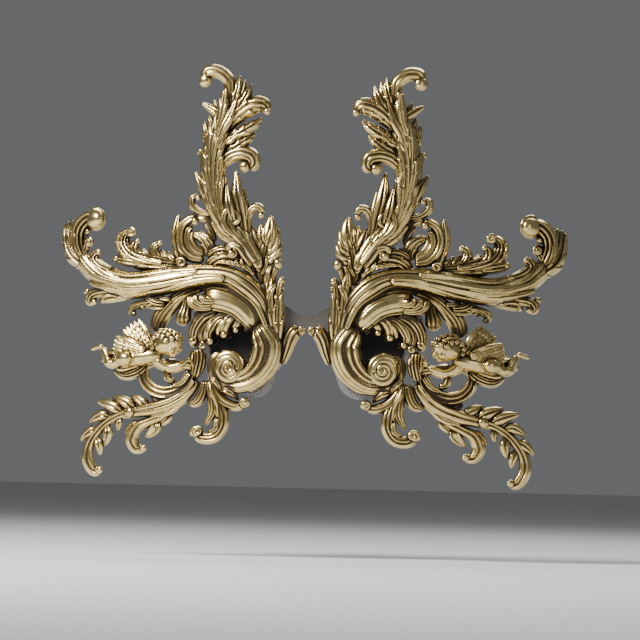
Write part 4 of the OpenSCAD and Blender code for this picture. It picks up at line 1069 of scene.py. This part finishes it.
def turned_metal(name, light, dark, rough):
    """Metal with fine turning marks round the hinge pin and slightly dulled patches."""
    made, shader = material(name)
    tree = made.node_tree
    grain = use_grain(tree, 600, 4500, 0.5)
    place = tree.nodes.new("ShaderNodeTexCoord")
    marks = tree.nodes.new("ShaderNodeTexWave")
    marks.wave_type = "BANDS"
    marks.bands_direction = "Z"
    marks.inputs["Scale"].default_value = 1800
    marks.inputs["Distortion"].default_value = 1.5
    tree.links.new(place.outputs["Object"], marks.inputs["Vector"])
    tree.links.new(ramp(tree, grain.outputs["Tone"], (0.3, dark), (0.65, light)),
                   shader.inputs["Base Color"])
    shader.inputs["Metallic"].default_value = 1
    tree.links.new(level(tree, marks.outputs["Fac"], 0, 1, rough, rough + 0.14), shader.inputs["Roughness"])
    bumped(tree, shader, calculated(tree, "ADD", marks.outputs["Fac"], grain.outputs["Height"]), 0.00001)
    return made


def studio_floor():
    made, shader = material("studio_floor")
    tree = made.node_tree
    grain = use_grain(tree, 40, 300, 0.4)
    tone = ramp(tree, grain.outputs["Tone"], (0.2, (0.66, 0.655, 0.65)), (0.8, (0.70, 0.695, 0.69)))
    tree.links.new(tone, shader.inputs["Base Color"])
    shader.inputs["Roughness"].default_value = 0.8
    bumped(tree, shader, grain.outputs["Height"], 0.0002)
    return made


FINE_GRAIN = fine_grain_group()
GOLD = gilt()
RAIL_TREE = rail_tree()


# ---- Camera, light and floor ----

def look_from(azimuth, elevation, distance, aim, roll, width):
    """A camera that sees width metres at the aim, azimuth degrees towards +X, elevation degrees up."""
    a, e = math.radians(azimuth), math.radians(elevation)
    back = Vector((math.sin(a) * math.cos(e), -math.cos(a) * math.cos(e), math.sin(e)))
    data = bpy.data.cameras.new("camera")
    data.lens = data.sensor_width * distance / width
    camera = bpy.data.objects.new("camera", data)
    camera.location = aim + back * distance
    facing = (-back).to_track_quat("-Z", "Y").to_matrix()
    spin = Matrix.Rotation(math.radians(roll), 3, "Z")
    camera.rotation_euler = (facing @ spin).to_euler()
    bpy.context.collection.objects.link(camera)
    bpy.context.scene.camera = camera


def soft_light(name, place, aim, size, watts, colour=(1, 1, 1)):
    data = bpy.data.lights.new(name, "AREA")
    data.shape = "RECTANGLE"
    data.size, data.size_y = size
    data.energy = watts
    data.color = colour
    lamp = bpy.data.objects.new(name, data)
    lamp.location = place
    lamp.rotation_euler = (Vector(aim) - Vector(place)).to_track_quat("-Z", "Y").to_euler()
    bpy.context.collection.objects.link(lamp)


def studio():
    """Plain pale surroundings: a key light from the upper left, a weak fill, a rim light and a floor."""
    middle = Vector((0, 0.02, 0.03))
    soft_light("key", (-0.8, -0.62, 0.86), middle, size=(0.45, 0.45), watts=41, colour=(1, 0.985, 0.95))
    soft_light("fill", (1.1, -1.3, 0.2), middle, size=(0.6, 1.2), watts=3, colour=(1, 0.97, 0.94))
    soft_light("rim", (0.3, 1.0, 1.2), middle, size=(1.2, 0.5), watts=10)
    world = bpy.data.worlds.new("studio")
    world.use_nodes = True
    sky = world.node_tree.nodes["Background"]
    sky.inputs["Color"].default_value = (0.76, 0.78, 0.80, 1)
    sky.inputs["Strength"].default_value = 0.18
    bpy.context.scene.world = world
    corners = [(x * FLOOR_HALF, y * FLOOR_HALF, 0) for x, y in ((-1, -1), (1, -1), (1, 1), (-1, 1))]
    floor = bpy.data.objects.new("floor", mesh_of("floor", corners, [(0, 1, 2, 3)]))
    floor.data.transform(Matrix.Translation((0, 0, LOW[2] - FLOOR_DROP)))
    floor.data.materials.append(studio_floor())
    bpy.context.collection.objects.link(floor)
    floor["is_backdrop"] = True


look_from(azimuth=3.5, elevation=-2.5, distance=2.5, aim=Vector((0.0085, 0.0, 0.0185)), roll=1.3,
          width=0.437)
studio()


# ---- The castings, both sides ----

FEATHER = ornament("feather", feather)
LOCK = ornament("lock", lock)
FROND = ornament("frond", frond)

CASTINGS = {
    "eye_scroll": eye_scroll, "eye_lobes": eye_lobes, "brow_band": brow_band, "bridge_curl": bridge_curl,
    "inner_leaf": inner_leaf, "wing_stem": wing_stem, "wing_curl": wing_curl, "spray_leaf": spray_leaf,
    "lower_leaf": lower_leaf, "mid_leaf": mid_leaf, "strap": strap, "plume": plume,
    "crest_leaf": crest_leaf, "side_shell": side_shell, "flower_leaf": flower_leaf,
    "ribbon_loop": ribbon_loop, "cherub": cherub, "laurel": laurel, "tendrils": tendrils,
}


def fitted(points, node):
    """Points moved and stretched a little so that they fill the box of their CAD node."""
    low, high = (np.array(corner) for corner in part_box(node))
    own_low, own_high = points.min(axis=0), points.max(axis=0)
    return low + (points - own_low) / (own_high - own_low) * (high - low)


def gilded_piece(node, points, faces, patina_and_shade):
    mesh = mesh_of(node, fitted(points, node), faces)
    mesh.shade_smooth()
    # Stores how shut in each point is, which the gilt paints as shade in hollows, part of it antiquing
    mesh.attributes.new("patina_and_shade", "FLOAT", "POINT").data.foreach_set("value", patina_and_shade)
    mesh.materials.append(GOLD)
    piece = bpy.data.objects.new("gilt_" + node, mesh)
    bpy.context.collection.objects.link(piece)
    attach(piece, FRONT)
    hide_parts(node)


def sculpted():
    """Every casting of the wearer's left side, as points on the curved face in millimetres and faces."""
    made = {}
    for name, draw in CASTINGS.items():
        c = Casting()
        draw(c)
        made[name] = c.arrays()
    return made


def normals_of(points, faces):
    mesh = mesh_of("normals", points, faces)
    normals = np.empty(len(mesh.vertices) * 3)
    mesh.vertex_normals.foreach_get("vector", normals)
    bpy.data.meshes.remove(mesh)
    return normals.reshape(-1, 3)


def build_castings():
    shapes = sculpted()
    placed = {name: on_face(points) for name, (points, faces) in shapes.items()}
    every_point = np.vstack(list(placed.values()))
    every_face = []
    first = 0
    for name, (points, faces) in shapes.items():
        every_face += [tuple(first + k for k in f) for f in faces]
        first += len(points)
    tree = BVHTree.FromPolygons(every_point.tolist(), every_face)
    for name, (points, faces) in shapes.items():
        # How shut in each point is among all left-side castings, for the painted shade; the right side
        # reuses it
        patina_and_shade = crevices(placed[name], normals_of(placed[name], faces), tree)
        left = placed[name]
        if name == "laurel":
            left = on_face(turned(points, LAUREL_ROOT, LAUREL_DROOP))
        gilded_piece(name + "_left", left, faces, patina_and_shade)
        right = placed[name] * (-1, 1, 1)
        gilded_piece(name + "_right", right, [f[::-1] for f in faces], patina_and_shade)


# ---- The glasses ----

def finish_node(node, finish):
    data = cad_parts[node].data
    data.materials.clear()
    data.materials.append(finish)


def build_glasses():
    acetate, lens, silicone = smoke_acetate(), gradient_lens(), clear_silicone()
    brass = turned_metal("hinge_metal", (0.78, 0.72, 0.58), (0.62, 0.54, 0.38), 0.24)
    steel = turned_metal("screw_steel", (0.66, 0.66, 0.67), (0.48, 0.48, 0.5), 0.2)
    finish_node("frame_front", acetate)
    finish_node("front_rivets", steel)
    for side in ("left", "right"):
        finish_node("lens_" + side, lens)
        finish_node("nose_pad_" + side, silicone)
        finish_node("temple_" + side, acetate)
        for node in ("hinge_front_", "hinge_temple_"):
            finish_node(node + side, brass)
        for node in ("hinge_screw_", "temple_rivets_", "temple_core_"):
            finish_node(node + side, steel)


build_glasses()
build_castings()
for item in (FEATHER, LOCK, FROND):
    bpy.data.objects.remove(item)
